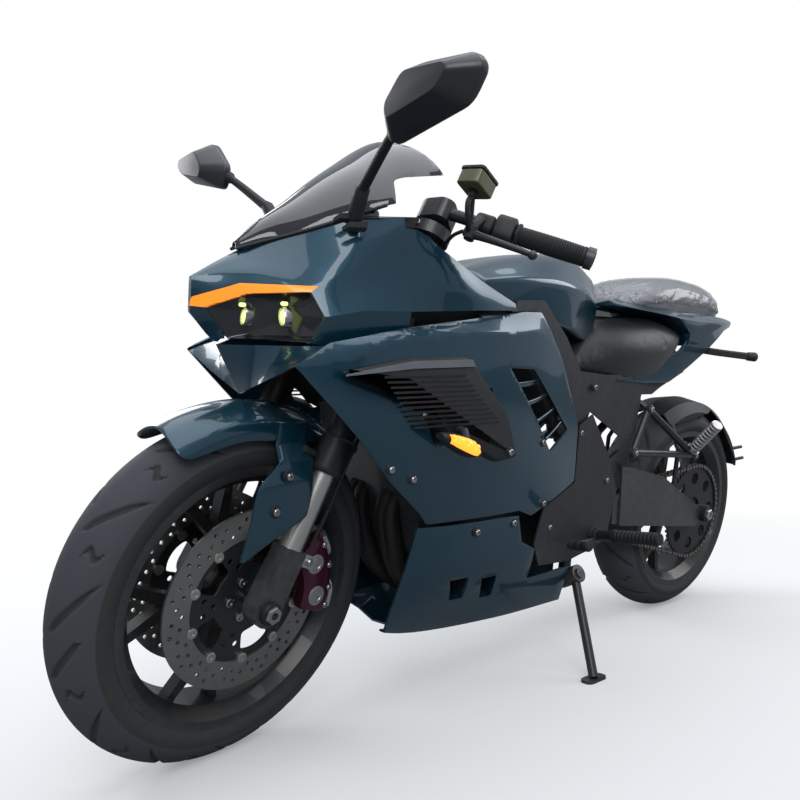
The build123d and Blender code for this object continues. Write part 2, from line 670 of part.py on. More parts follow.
# Exhaust: one header under the engine to a short silencer low on the right
with BuildPart() as exhaust:
    add(rod((270, -40, 360), (272, -50, 220), 18))
    add(rod((272, -50, 220), (240, -60, 200), 18))
    add(rod((240, -60, 200), (-150, -80, 200), 18))
    add(rod((-150, -80, 200), (-290, -152, 226), 18))
    add(rod((-290, -152, 226), (-610, -176, 322), 44))
    add(rod((-600, -176, 320), (-640, -178, 332), 26))
save(exhaust.part, "exhaust")

# ---- Bodywork ----
# Nose: a pointed prow, lofted across and hollowed, then parted into cowl, lamps and light strips.
# Left half of each section: crown, screen line, seam, shoulder crease, lamp corner, lower edge.
nose_rows = [
    (784, (0, 823), (2, 822.5), (4, 822), (5, 815), (5, 775), (3, 766)),
    (740, (0, 852), (10, 848), (28, 832), (36, 815), (41, 775), (2, 722)),
    (700, (0, 876), (12, 874), (60, 836), (70, 815), (77, 775), (56, 724)),
    (626, (0, 912), (66, 908), (124, 826), (131, 813), (148, 772), (141, 729)),
    (560, (0, 945), (110, 938), (138, 869), (148, 829), (168, 787), (160, 735)),
    (474, (0, 962), (146, 950), (150, 940), (167, 848), (183, 792), (176, 742)),
]
lamp_outline = [(18, 775), (60, 801.5), (126, 810.5), (150, 772), (136, 733), (18, 727)]
strip_outline = [(2, 776), (6, 790), (50, 817), (128, 820), (126, 810.5), (60, 801.5), (18, 775)]
cheek_rows = [  # x, then the side's crease points from its sloping rear edge down
    (490, (146, 931), (162, 845), (178.5, 790)), (445, (152, 931), (174, 854), (185, 794)),
    (400, (163, 906), (184, 862), (189, 798)), (300, (182, 853), (190, 830), (194, 806)),
    (226, (188, 824), (190, 818), (191, 811))]


def shrink(point, middle, amount):
    """Move a section point towards the section's middle by the wall."""
    step = (Vector(*middle) - Vector(*point)).normalized() * amount
    return (point[0] + step.X if point[0] else 0, point[1] + step.Y)


hollow_rows = []
for x, *points in nose_rows[1:]:
    *upper, (lower_y, lower_z) = points
    inside = [shrink(point, (0, 790), wall * 1.3) for point in upper]
    hollow_rows.append((min(x, 735) - (1 if x == nose_rows[-1][0] else 0), *inside,
                        (max(lower_y - wall * 1.3, 1), lower_z - 12)))
with BuildPart() as prow:
    add(body(nose_rows))
    add(body(hollow_rows), mode=Mode.SUBTRACT)
lamp_window = front_prism(lamp_outline, 560, 800) + front_prism([(-y, z) for y, z in lamp_outline], 560, 800)
strip_window = front_prism(strip_outline, 560, 800) + front_prism([(-y, z) for y, z in strip_outline], 560, 800)
with BuildPart() as nose_fairing:
    add(prow.part)
    add(lamp_window, mode=Mode.SUBTRACT)
    add(strip_window, mode=Mode.SUBTRACT)
    add(prism([(640, 700), (640, 730), (728, 730), (760, 745), (760, 700)], -200, 200), mode=Mode.SUBTRACT)
    cheek = skin(cheek_rows, (-wall, 0))
    add(cheek)
    add(cheek.mirror(Plane.XZ))
save(nose_fairing.part, "nose_fairing")

with BuildPart() as headlights:
    add(prow.part)
    add(lamp_window, mode=Mode.INTERSECT)
save(headlights.part, "headlights")

with BuildPart() as light_strips:
    add(prow.part)
    add(strip_window, mode=Mode.INTERSECT)
save(light_strips.part, "light_strips")

# Windscreen: an arched bubble whose lower corners run back as ears. Columns: x, crown z, half width, side z.
screen_rows = [(712, 886.6, 8, 875.6), (670, 926.6, 34, 892.6), (620, 965.6, 71, 913.6), (560, 1016.6, 113, 941.6),
               (513, 1052.6, 148, 964.6), (446, 1100.6, 158, 982.6), (376, 1126.6, 166, 986.6)]
ear_cut = [(512, 900), (500, 962), (490, 1010), (470, 1018), (384, 1036), (300, 1040), (300, 900)]
screen_rear = [(448, 0), (440, 60), (380, 168), (300, 168), (300, -168), (380, -168), (440, -60)]


def arched(rows, drop):
    """The solid under an arch through each row's sides and crown, lowered by the wall."""
    with BuildPart(mode=Mode.PRIVATE) as hood:
        for x, crown, half_width, side_z in rows:
            reach = half_width - drop
            with BuildSketch(Plane.YZ.offset(x)):
                with BuildLine():
                    ThreePointArc((-reach, side_z), (0, crown - drop), (reach, side_z))
                    Polyline((reach, side_z), (reach, side_z - 2 * drop - 2), (-reach, side_z - 2 * drop - 2),
                             (-reach, side_z))
                make_face()
        loft(ruled=True)
    return hood.part


with BuildPart() as windscreen:
    add(arched(screen_rows, 0))
    add(arched(screen_rows, screen_wall), mode=Mode.SUBTRACT)
    add(prism(ear_cut, -200, 200), mode=Mode.SUBTRACT)
    with BuildSketch(Plane.XY.offset(900)):
        with BuildLine():
            Polyline(*screen_rear, close=True)
        make_face()
    extrude(amount=400, mode=Mode.SUBTRACT)
save(windscreen.part, "windscreen")

# Chin: a shallow V of panel from the lamps' lower edge down and back to the intake's point
chin_rows = [(0, (736, 716), (690, 634)), (100, (668, 722), (698, 664)), (192.9, (634, 728), (702, 694))]
with BuildPart() as chin_panel:
    half = skin([(-y, *line) for y, *line in chin_rows], (-wall, 0), Plane.XZ)
    add(half)
    add(half.mirror(Plane.XZ))
save(chin_panel.part, "chin_panel")

# Mirrors: a faceted head on a tapered stalk from a plate on the cowl's shoulder
mirror_rear = [(262, 1062), (330, 1118), (440, 1106), (455, 1086), (430, 1048), (275, 1018)]
mirror_front = [(300, 1060), (338, 1098), (424, 1090), (430, 1078), (410, 1058), (306, 1038)]
with BuildPart() as mirrors:
    for x, outline in ((598, mirror_rear), (612, mirror_rear), (650, mirror_front)):
        with BuildSketch(Plane.YZ.offset(x)):
            with BuildLine():
                Polyline(*outline, close=True)
            make_face()
    loft(ruled=True)
    add(rod((572, 158, 978), (606, 292, 1052), 8))
    add(rod((561.1, 123.2, 926.6), (572, 162, 984), 13))
    mirror(about=Plane.XZ)
save(mirrors.part, "mirrors")

# Dashboard on a foot on the cowl's crown, facing the rider
with BuildPart() as dashboard:
    with BuildSketch(Plane((500, 0, 995), x_dir=(0, 1, 0), z_dir=(-0.6, 0, 0.8))):
        RectangleRounded(150, 72, 10)
    extrude(amount=-14)
    add(prism([(490, 959.1), (510, 955.2), (512, 985), (490, 969)], -20, 20))
save(dashboard.part, "dashboard")

# Side fairings. Left half: inner top edge, sharp crease, middle, lower edge; then the side-view outline.
side_columns = ("x", "inner top", "crease", "middle", "lower edge")
side_rows = [
    (708, (196, 712), (204, 698), (203, 690), (200, 682)),
    (640, (190, 738), (206, 714), (210, 640), (200, 560)),
    (490, (186, 766), (209, 752), (224, 600), (182, 412)),
    (260, (184, 800), (205, 770), (216, 600), (192, 405)),
    (140, (180, 816), (188, 772), (198, 600), (184, 395)),
    (40, (164, 800), (168, 720), (176, 580), (172, 395)),
    (-60, (150, 740), (150, 640), (152, 560), (152, 395)),
]
side_outline = [(704, 698), (640, 733), (490, 764), (190, 811), (139, 813), (95, 770), (45, 718), (-45, 577),
                (-50, 455), (60, 422), (120, 402), (165, 419), (412, 421), (431, 442), (512, 508), (580, 579)]
gill_outline = [(248, 704), (168, 702), (10, 574), (82, 534)]
vent_outline = [(495, 668), (300, 668), (300, 590), (438, 572)]
gill_count = 4
with BuildPart() as side_fairings:
    add(skin(side_rows, (-wall, 0)))
    add(prism(side_outline, 100, 300), mode=Mode.INTERSECT)
    add(prism(gill_outline, 100, 300), mode=Mode.SUBTRACT)
    add(prism(vent_outline, 100, 300), mode=Mode.SUBTRACT)
    for index in range(gill_count):
        share = (index + 0.9) / (gill_count + 0.6)
        front = Vector(248, 704) + (Vector(82, 534) - Vector(248, 704)) * share
        rear = Vector(168, 702) + (Vector(10, 574) - Vector(168, 702)) * share
        blade_rows = [(front.X + 8, 208 - 8 * share, front.Y), (rear.X - 8, 190 - 24 * share, rear.Y)]
        add(skin([(x, (y - 4, z + 5), (y - 20, z - 4)) for x, y, z in blade_rows], (0, -5)))
    add(rod((120, 185, 705), (120, 117.3, 705), 8))
    mirror(about=Plane.XZ)
save(side_fairings.part, "side_fairings")

# Side scoops: a ribbed boomerang standing proud of each side fairing, its mouth facing forward
scoop_outline = [(638, 690), (578, 680), (505, 676), (420, 590), (284, 530), (228, 536), (262, 620), (372, 722),
                 (500, 716)]
with BuildPart() as side_scoops:
    with BuildSketch(Plane.XZ.offset(-217.8)):
        with BuildLine():
            Polyline(*scoop_outline, close=True)
        make_face()
    extrude(amount=-14, taper=20)
    mirror(about=Plane.XZ)
save(side_scoops.part, "side_scoops")

# Turn indicators: front pair on stalks from the scoops' mouths, rear pair on flat arms from the tail
with BuildPart() as indicators:
    add(rod((392, 232.1, 596), (392, 246, 596), 8))
    add(rod((392, 242, 596), (400, 262, 580), 8))
    for x, height, depth in ((462, 12, 10), (430, 30, 22), (400, 34, 26), (372, 12, 10)):
        with BuildSketch(Plane.YZ.offset(x)):
            with Locations((262, 572 + (x - 400) * 0.35)):
                Ellipse(depth, height / 2)
    loft()
    add(skin([(-y, (x + 16, z), (x - 16, z)) for x, y, z in
              ((-724, 59.2, 766), (-742, 100, 762), (-772, 172, 757))], (0, -9), Plane.XZ))
    mirror(about=Plane.XZ)
save(indicators.part, "indicators")

# Belly pan: left half of each section from the seam down to the keel
belly_rows = [
    (446, (170, 412), (156, 330), (134, 208), (0, 190)),
    (400, (182, 414), (170, 320), (122, 192), (0, 172)),
    (160, (188, 408), (182, 310), (138, 178), (0, 158)),
    (-60, (172, 392), (166, 300), (138, 176), (0, 158)),
]
belly_outline = [(420, 412), (165, 411), (146, 352), (100, 330), (100, 262), (-55, 262), (-55, 150), (446, 150),
                 (446, 200)]
belly_mouth = [(460, -126), (384, -92), (370, -50), (370, 50), (384, 92), (460, 126)]  # room for the wheel to turn
vent_outlines = [[(330, 300), (284, 300), (280, 252), (312, 252)], [(246, 290), (204, 290), (198, 242), (230, 242)]]
with BuildPart() as belly_pan:
    add(body(belly_rows))
    inner_rows = [(x + (1 if x == 446 else -1 if x == -60 else 0),
                   *[(max(y - wall, 0), z + (30 if index == 0 else wall if index > 1 else 0))
                     for index, (y, z) in enumerate(points)]) for x, *points in belly_rows]
    add(body(inner_rows), mode=Mode.SUBTRACT)
    add(prism(belly_outline, -300, 300), mode=Mode.INTERSECT)
    with BuildSketch(Plane.XY.offset(100)):
        with BuildLine():
            Polyline(*belly_mouth, close=True)
        make_face()
    extrude(amount=150, mode=Mode.SUBTRACT)
    for x, y, z in ((20, 155.5, 245), (160, 174, 305)):
        add(rod((x, y, z), (x, 100.3, z), 8))
        add(rod((x, -y, z), (x, -100.3, z), 8))
    for outline in vent_outlines:
        add(prism(outline, 100, 300), mode=Mode.SUBTRACT)
        add(prism(outline, -300, -100), mode=Mode.SUBTRACT)
save(belly_pan.part, "belly_pan")

# Frame covers: angular shells over the frame behind the side fairings, and the blade below them
cover_outline = [(-54, 577), (-108, 600), (-196, 500), (-252, 412), (-226, 306), (-170, 280), (-60, 270),
                 (60, 282), (84, 330), (60, 408), (-56, 450)]
with BuildPart() as frame_covers:
    cover_rows = [(90, (168, 600), (168, 250)), (0, (160, 600), (158, 250)), (-110, (146, 600), (144, 250)),
                  (-260, (132, 600), (130, 250))]
    add(skin(cover_rows, (-wall, 0)))
    add(prism(cover_outline, 100, 300), mode=Mode.INTERSECT)
    add(rod((-90, 146, 540), (-90, 100.1, 540), 8))
    add(rod((-200, 135.5, 420), (-200, 78.1, 420), 8))
    mirror(about=Plane.XZ)
save(frame_covers.part, "frame_covers")

# Fuel tank. Left half: crown, shoulder, side crease, lower edge
tank_rows = [
    (262, (0, 884), (84, 886), (136, 866), (140, 822)),
    (140, (0, 925), (84, 918), (148, 880), (150, 800)),
    (0, (0, 950), (72, 942), (140, 880), (136, 786)),
    (-100, (0, 958), (58, 944), (112, 870), (98, 768)),
    (-192, (0, 922), (42, 914), (70, 840), (62, 756)),
]
with BuildPart() as fuel_tank:
    add(body(tank_rows))
    for side in (-1, 1):
        add(rod((100, side * 108, 805), (100, side * 108, 744.3), 8))
save(fuel_tank.part, "fuel_tank")

# Side trim: the black band from the cowl's rear corner down the fairing's edge, and the panel under the seat
band_outline = [(222, 808), (206, 832), (120, 838), (20, 768), (-60, 690), (-112, 612), (-100, 590), (-47, 579),
                (43, 720), (93, 772), (137, 815), (190, 813)]
seat_panel_outline = [(-62, 697), (-180, 689), (-300, 695), (-400, 725), (-480, 768), (-560, 700), (-430, 660),
                      (-385, 642), (-328, 642), (-318, 560), (-300, 530), (-250, 540), (-116, 606)]
with BuildPart() as side_trim:
    band_rows = [(224, (182, 840), (182, 560)), (140, (172, 840), (172, 560)), (40, (158, 840), (158, 560)),
                 (-60, (142, 840), (142, 560)), (-120, (136, 840), (136, 560))]
    add(skin(band_rows, (-wall, 0)))
    add(prism(band_outline, 100, 300), mode=Mode.INTERSECT)
    add(rod((-10, 148, 668), (-10, 117.3, 668), 8))
    panel_rows = [(-40, (132, 800), (132, 500)), (-300, (130, 800), (126, 500)), (-600, (96, 800), (92, 500))]
    panel = skin(panel_rows, (-wall, 0)).intersect(prism(seat_panel_outline, 50, 300))
    add(panel)
    add(rod((-250, 126.5, 647.5), (-250, 106.3, 647.5), 7))
    mirror(about=Plane.XZ)
save(side_trim.part, "side_trim")

# Seats
seat_rows = [
    (-72, (0, 742), (70, 738), (112, 716), (108, 700)),
    (-180, (0, 750), (90, 752), (140, 730), (132, 692)),
    (-300, (0, 770), (96, 782), (142, 742), (132, 698)),
    (-400, (0, 800), (88, 806), (128, 772), (120, 728)),
    (-462, (0, 822), (70, 820), (108, 800), (104, 770)),
]
with BuildPart() as rider_seat:
    add(body(seat_rows))
    for side in (-1, 1):
        add(rod((-200, side * 97, 700), (-200, side * 97, 647.6), 8))
save(rider_seat.part, "rider_seat")

pad_rows = [
    (-292, (0, 874), (70, 872), (96, 868), (92, 860.3)),
    (-380, (0, 924), (70, 920), (112, 892), (106, 859.3)),
    (-540, (0, 940), (66, 934), (108, 900), (100, 858.4)),
    (-720, (0, 924), (50, 918), (82, 892), (76, 858.2)),
    (-812, (0, 884), (30, 882), (48, 876), (46, 858.2)),
]
with BuildPart() as pillion_seat:
    add(body(pad_rows))
save(pillion_seat.part, "pillion_seat")

# Tail: left half of each section: deck, upper edge, side crease, lower edge, underside
tail_rows = [
    (-214, (0, 846), (84, 864), (104, 856), (112, 812), (100, 800)),
    (-300, (0, 846), (104, 860), (134, 846), (136, 800), (120, 790)),
    (-468, (0, 850), (112, 858), (138, 836), (134, 776), (112, 770)),
    (-640, (0, 852), (96, 858), (110, 838), (100, 780), (86, 776)),
    (-800, (0, 852), (66, 858), (74, 846), (66, 814), (54, 812)),
    (-944, (0, 850), (20, 856), (24, 850), (20, 838), (12, 836)),
]
with BuildPart() as tail_fairing:
    add(body(tail_rows))
    add(prism([(-180, 600), (-180, 848), (-250, 848), (-470, 822), (-470, 600)], -130, 130), mode=Mode.SUBTRACT)
    for side in (-1, 1):
        add(rod((-600, side * 67.1, 785), (-600, side * 67.1, 756), 8))
save(tail_fairing.part, "tail_fairing")

with BuildPart() as tail_light:
    add(body([(-800, (0, 811), (50, 811), (44, 796)), (-936, (0, 834), (12, 834), (10, 829))]))
save(tail_light.part, "tail_light")

# Foot pegs: rider's pegs and foot levers low down, passenger's pegs on triangulated hangers
hanger_top, hanger_front, hanger_foot = (-357, 130, 606), (-300, 134, 500), (-560, 150, 482)
with BuildPart() as foot_pegs:
    add(rod((-160, 143.6, 316), (-159, 155, 316), 20))
    add(rod((-160, 150, 316), (-150, 312, 352), 12))
    add(rod((-165, 153, 306), (-30, 178, 318), 7))
    add(rod((-30, 172, 318), (-24, 230, 330), 9))
    for start, end in ((hanger_top, hanger_foot), (hanger_front, hanger_foot), (hanger_top, hanger_front)):
        add(rod(start, end, 9))
    add(rod(hanger_top, beside((-150, 84, 500), (-420, 92, 690), hanger_top, subframe_tube + joint_gap), 8))
    add(rod((-552, 142, 484), (-520, 226, 574), 13))
    mirror(about=Plane.XZ)
save(foot_pegs.part, "foot_pegs")

# Side stand: a leg from its pivot to a flat foot on the road
with BuildPart() as side_stand:
    with BuildSketch(ground):
        with Locations((foot_x, foot_y)):
            RectangleRounded(62, 30, 12)
    extrude(amount=6)
    add(rod(foot_joint, stand_top, stand_tube_radius))
    add(rod(stand_top - stand_axis * 14, stand_top + stand_axis * 14, 20))
    add(rod(stand_top - stand_axis * 15, stand_top + stand_axis * 15, 6 + bearing_gap), mode=Mode.SUBTRACT)
save(side_stand.part, "side_stand")
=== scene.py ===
import math
import bmesh
import bpy
from mathutils.geometry import delaunay_2d_cdt
from mathutils import Matrix, Vector
from mathutils.bvhtree import BVHTree


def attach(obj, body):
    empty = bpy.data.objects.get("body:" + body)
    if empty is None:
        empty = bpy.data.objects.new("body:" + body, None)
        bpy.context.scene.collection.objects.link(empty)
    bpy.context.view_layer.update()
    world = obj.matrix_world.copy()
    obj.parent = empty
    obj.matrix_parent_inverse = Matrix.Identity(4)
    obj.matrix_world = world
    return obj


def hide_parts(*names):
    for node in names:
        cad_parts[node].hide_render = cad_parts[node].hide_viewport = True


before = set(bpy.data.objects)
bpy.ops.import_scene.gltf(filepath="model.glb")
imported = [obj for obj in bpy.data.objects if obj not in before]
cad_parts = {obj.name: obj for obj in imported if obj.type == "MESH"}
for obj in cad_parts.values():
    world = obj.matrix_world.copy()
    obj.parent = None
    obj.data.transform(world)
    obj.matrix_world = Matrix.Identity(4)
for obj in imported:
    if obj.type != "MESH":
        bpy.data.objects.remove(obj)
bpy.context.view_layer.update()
scene = bpy.context.scene

# where the upright machine stands once it leans on its stand, in degrees and metres
stance = {
    "lean": 10.0, "pitch": 0.09573972, "lift": -0.00006449, "shift": (0.045, -0.188),
    "rake": 25.0, "steered": 9.8, "steerPoint": (0.66559, 0.0, 0.283954),
    "frontAxle": (0.7, 0.0, 0.3),
}
parked = (Matrix.Translation((*stance["shift"], stance["lift"]))
          @ Matrix.Rotation(math.radians(stance["pitch"]), 4, "Y")
          @ Matrix.Rotation(math.radians(-stance["lean"]), 4, "X"))
steerUp = Vector((-math.sin(math.radians(stance["rake"])), 0, math.cos(math.radians(stance["rake"]))))
steerForward = Vector((steerUp.z, 0, -steerUp.x))
steerTurn = (Matrix.Translation(stance["steerPoint"])
             @ Matrix.Rotation(math.radians(stance["steered"]), 4, steerUp)
             @ Matrix.Translation(-Vector(stance["steerPoint"])))
placing = {"chassis": parked, "rear_wheel": parked, "steering": parked @ steerTurn, "front_wheel": parked @ steerTurn}


def steerPoint(x, y, z):  # millimetres ahead of the steering axis, to the left and up along it
    return (Vector(stance["steerPoint"]) + (steerForward * x + Vector((0, y, 0)) + steerUp * z) / 1000) * 1000


# ---- camera and light ----
camera = {"place": (1.2756097, 1.0220513, 0.5563672), "turn": (92.458537, 2.276968, 141.308845),
          "lens": 31.66585, "shift": (0.003684, -0.004584)}
cameraData = bpy.data.cameras.new("camera")
cameraData.lens = camera["lens"]
cameraData.sensor_width = 36
cameraData.shift_x, cameraData.shift_y = camera["shift"]
cameraObject = bpy.data.objects.new("camera", cameraData)
cameraObject.location = camera["place"]
cameraObject.rotation_euler = [math.radians(v) for v in camera["turn"]]
scene.collection.objects.link(cameraObject)
scene.camera = cameraObject
scene.view_settings.view_transform = "Standard"


def areaLamp(name, place, aim, size, power, colour=(1, 1, 1)):
    data = bpy.data.lights.new(name, "AREA")
    data.shape = "RECTANGLE"
    data.size, data.size_y = size
    data.energy = power
    data.color = colour
    lamp = bpy.data.objects.new(name, data)
    lamp.location = place
    lamp.rotation_euler = (Vector(aim) - Vector(place)).to_track_quat("-Z", "Y").to_euler()
    scene.collection.objects.link(lamp)


lamps = {
    "skyLamp": dict(place=(0.2, 0.3, 4.2), aim=(0, 0, 0.4), size=(4.5, 4.5), power=95, colour=(0.93, 0.97, 1.0)),
    "keyLamp": dict(place=(2.6, 3.4, 3.0), aim=(0.1, 0, 0.6), size=(2.4, 2.4), power=75),
    "rearLamp": dict(place=(-3.2, 1.6, 2.4), aim=(-0.3, 0, 0.6), size=(2.2, 2.2), power=45),
    "rightLamp": dict(place=(0.8, -3.6, 2.6), aim=(0, 0, 0.6), size=(2.6, 2.2), power=60),
}
for lampName, values in lamps.items():
    areaLamp(lampName, **values)

backdrop = {"colour": (0.86, 0.865, 0.87), "worldColour": (0.80, 0.86, 0.95), "worldLight": 0.42, "seen": 1.0,
            "fade": (1.1, 3.2), "nearWhite": 0.25, "bounce": (0.22, 0.23, 0.24)}
world = bpy.data.worlds.new("studio")
scene.world = world
world.use_nodes = True
tree = world.node_tree
tree.nodes.clear()
lightPath = tree.nodes.new("ShaderNodeLightPath")
soft = tree.nodes.new("ShaderNodeBackground")
soft.inputs["Color"].default_value = (*backdrop["worldColour"], 1)
soft.inputs["Strength"].default_value = backdrop["worldLight"]
white = tree.nodes.new("ShaderNodeBackground")
white.inputs["Color"].default_value = (1, 1, 1, 1)
white.inputs["Strength"].default_value = backdrop["seen"]
blend = tree.nodes.new("ShaderNodeMixShader")
worldOut = tree.nodes.new("ShaderNodeOutputWorld")
tree.links.new(lightPath.outputs["Is Camera Ray"], blend.inputs["Fac"])
tree.links.new(soft.outputs["Background"], blend.inputs[1])
tree.links.new(white.outputs["Background"], blend.inputs[2])
tree.links.new(blend.outputs["Shader"], worldOut.inputs["Surface"])
print("camera, lamps and world set")

# ---- shared effects ----


def nodeGroup(name, inputs, outputs):
    group = bpy.data.node_groups.new(name, "ShaderNodeTree")
    for socketName, kind, value in inputs:
        socket = group.interface.new_socket(name=socketName, in_out="INPUT", socket_type=kind)
        socket.default_value = value
    for socketName, kind in outputs:
        group.interface.new_socket(name=socketName, in_out="OUTPUT", socket_type=kind)
    entry = group.nodes.new("NodeGroupInput")
    leave = group.nodes.new("NodeGroupOutput")
    return group, entry, leave


def feed(group, value, socket):  # a number, a colour or another node's output
    if isinstance(value, (int, float)):
        socket.default_value = value
    elif isinstance(value, tuple):
        socket.default_value = (*value[:3], 1)
    elif value is not None:
        group.links.new(value, socket)


def mathNode(group, kind, a, b=None, clamp=False):
    node = group.nodes.new("ShaderNodeMath")
    node.operation = kind
    node.use_clamp = clamp
    for socket, value in zip(node.inputs, (a, b)):
        feed(group, value, socket)
    return node.outputs[0]


def mixColour(group, factor, a, b):
    node = group.nodes.new("ShaderNodeMix")
    node.data_type = "RGBA"
    for name, value in (("Factor", factor), ("A", a), ("B", b)):
        feed(group, value, node.inputs[name])
    return node.outputs["Result"]


def noiseNode(group, coordinates, scale, detail, rough):
    node = group.nodes.new("ShaderNodeTexNoise")
    for name, value in (("Detail", detail), ("Roughness", rough), ("Scale", scale), ("Vector", coordinates)):
        feed(group, value, node.inputs[name])
    return node.outputs["Fac"]


# mottled colour with a fine grain: two tones in, colour, roughness and height out
grainGroup, entry, leave = nodeGroup(
    "mottledGrain",
    [("Light Tone", "NodeSocketColor", (0.1, 0.1, 0.1, 1)), ("Dark Tone", "NodeSocketColor", (0.05, 0.05, 0.05, 1)),
     ("Grain Scale", "NodeSocketFloat", 900.0), ("Patch Scale", "NodeSocketFloat", 14.0),
     ("Roughness", "NodeSocketFloat", 0.5), ("Roughness Spread", "NodeSocketFloat", 0.15)],
    [("Color", "NodeSocketColor"), ("Roughness", "NodeSocketFloat"), ("Height", "NodeSocketFloat")])
where = grainGroup.nodes.new("ShaderNodeTexCoord").outputs["Object"]
patches = noiseNode(grainGroup, where, entry.outputs["Patch Scale"], 5.0, 0.6)
grain = noiseNode(grainGroup, where, entry.outputs["Grain Scale"], 2.0, 0.6)
grainGroup.links.new(mixColour(grainGroup, patches, entry.outputs["Dark Tone"], entry.outputs["Light Tone"]),
                     leave.inputs["Color"])
spread = mathNode(grainGroup, "MULTIPLY", mathNode(grainGroup, "SUBTRACT", patches, 0.5),
                  entry.outputs["Roughness Spread"])
grainGroup.links.new(mathNode(grainGroup, "ADD", entry.outputs["Roughness"], spread, True), leave.inputs["Roughness"])
grainGroup.links.new(grain, leave.inputs["Height"])

# road dust that settles low down and in patches: colour in, colour and roughness out
dustGroup, entry, leave = nodeGroup(
    "roadDust",
    [("Color", "NodeSocketColor", (0.1, 0.1, 0.1, 1)), ("Roughness", "NodeSocketFloat", 0.5),
     ("Dust Color", "NodeSocketColor", (0.28, 0.26, 0.23, 1)), ("Amount", "NodeSocketFloat", 0.15),
     ("Reach", "NodeSocketFloat", 0.7)],
    [("Color", "NodeSocketColor"), ("Roughness", "NodeSocketFloat")])
place = dustGroup.nodes.new("ShaderNodeTexCoord").outputs["Object"]
split = dustGroup.nodes.new("ShaderNodeSeparateXYZ")
dustGroup.links.new(place, split.inputs[0])
low = mathNode(dustGroup, "SUBTRACT", 1.0,
               mathNode(dustGroup, "DIVIDE", split.outputs["Z"], entry.outputs["Reach"]), True)
speckle = noiseNode(dustGroup, place, 38.0, 6.0, 0.7)
mask = mathNode(dustGroup, "MULTIPLY", mathNode(dustGroup, "MULTIPLY", low, speckle), entry.outputs["Amount"], True)
dustGroup.links.new(mixColour(dustGroup, mask, entry.outputs["Color"], entry.outputs["Dust Color"]),
                    leave.inputs["Color"])
dustGroup.links.new(mathNode(dustGroup, "ADD", entry.outputs["Roughness"], mask, True), leave.inputs["Roughness"])

# bright worn edges, from how sharply the surface turns
wearGroup, entry, leave = nodeGroup(
    "edgeWear",
    [("Color", "NodeSocketColor", (0.1, 0.1, 0.1, 1)), ("Worn Color", "NodeSocketColor", (0.3, 0.3, 0.3, 1)),
     ("Amount", "NodeSocketFloat", 0.5)],
    [("Color", "NodeSocketColor")])
sharp = wearGroup.nodes.new("ShaderNodeNewGeometry").outputs["Pointiness"]
rubbed = noiseNode(wearGroup, wearGroup.nodes.new("ShaderNodeTexCoord").outputs["Object"], 60.0, 4.0, 0.7)
ridge = mathNode(wearGroup, "MULTIPLY", mathNode(wearGroup, "SUBTRACT", sharp, 0.53), 9.0, True)
mask = mathNode(wearGroup, "MULTIPLY", mathNode(wearGroup, "MULTIPLY", ridge, rubbed), entry.outputs["Amount"], True)
wearGroup.links.new(mixColour(wearGroup, mask, entry.outputs["Color"], entry.outputs["Worn Color"]),
                    leave.inputs["Color"])


def newMaterial(name, light, dark, rough, metal=0.0, grain=900.0, patch=14.0, spread=0.12, bump=0.0,
                bumpDepth=0.0004, dust=0.0, wear=0.0, worn=(0.3, 0.3, 0.3), **sockets):
    material = bpy.data.materials.new(name)
    material.use_nodes = True
    group = material.node_tree
    shader = group.nodes["Principled BSDF"]
    mottled = group.nodes.new("ShaderNodeGroup")
    mottled.node_tree = grainGroup
    for socketName, value in (("Light Tone", light), ("Dark Tone", dark), ("Grain Scale", grain),
                              ("Patch Scale", patch), ("Roughness", rough), ("Roughness Spread", spread)):
        feed(group, value, mottled.inputs[socketName])
    colour, roughness = mottled.outputs["Color"], mottled.outputs["Roughness"]
    if wear:
        node = group.nodes.new("ShaderNodeGroup")
        node.node_tree = wearGroup
        for socketName, value in (("Worn Color", worn), ("Amount", wear), ("Color", colour)):
            feed(group, value, node.inputs[socketName])
        colour = node.outputs["Color"]
    if dust:
        node = group.nodes.new("ShaderNodeGroup")
        node.node_tree = dustGroup
        for socketName, value in (("Amount", dust), ("Color", colour), ("Roughness", roughness)):
            feed(group, value, node.inputs[socketName])
        colour, roughness = node.outputs["Color"], node.outputs["Roughness"]
    group.links.new(colour, shader.inputs["Base Color"])
    group.links.new(roughness, shader.inputs["Roughness"])
    if bump:
        node = group.nodes.new("ShaderNodeBump")
        for socketName, value in (("Strength", bump), ("Distance", bumpDepth), ("Height", mottled.outputs["Height"])):
            feed(group, value, node.inputs[socketName])
        group.links.new(node.outputs["Normal"], shader.inputs["Normal"])
    shader.inputs["Metallic"].default_value = metal
    for socketName, value in sockets.items():
        shader.inputs[socketName.replace("_", " ")].default_value = value
    return material


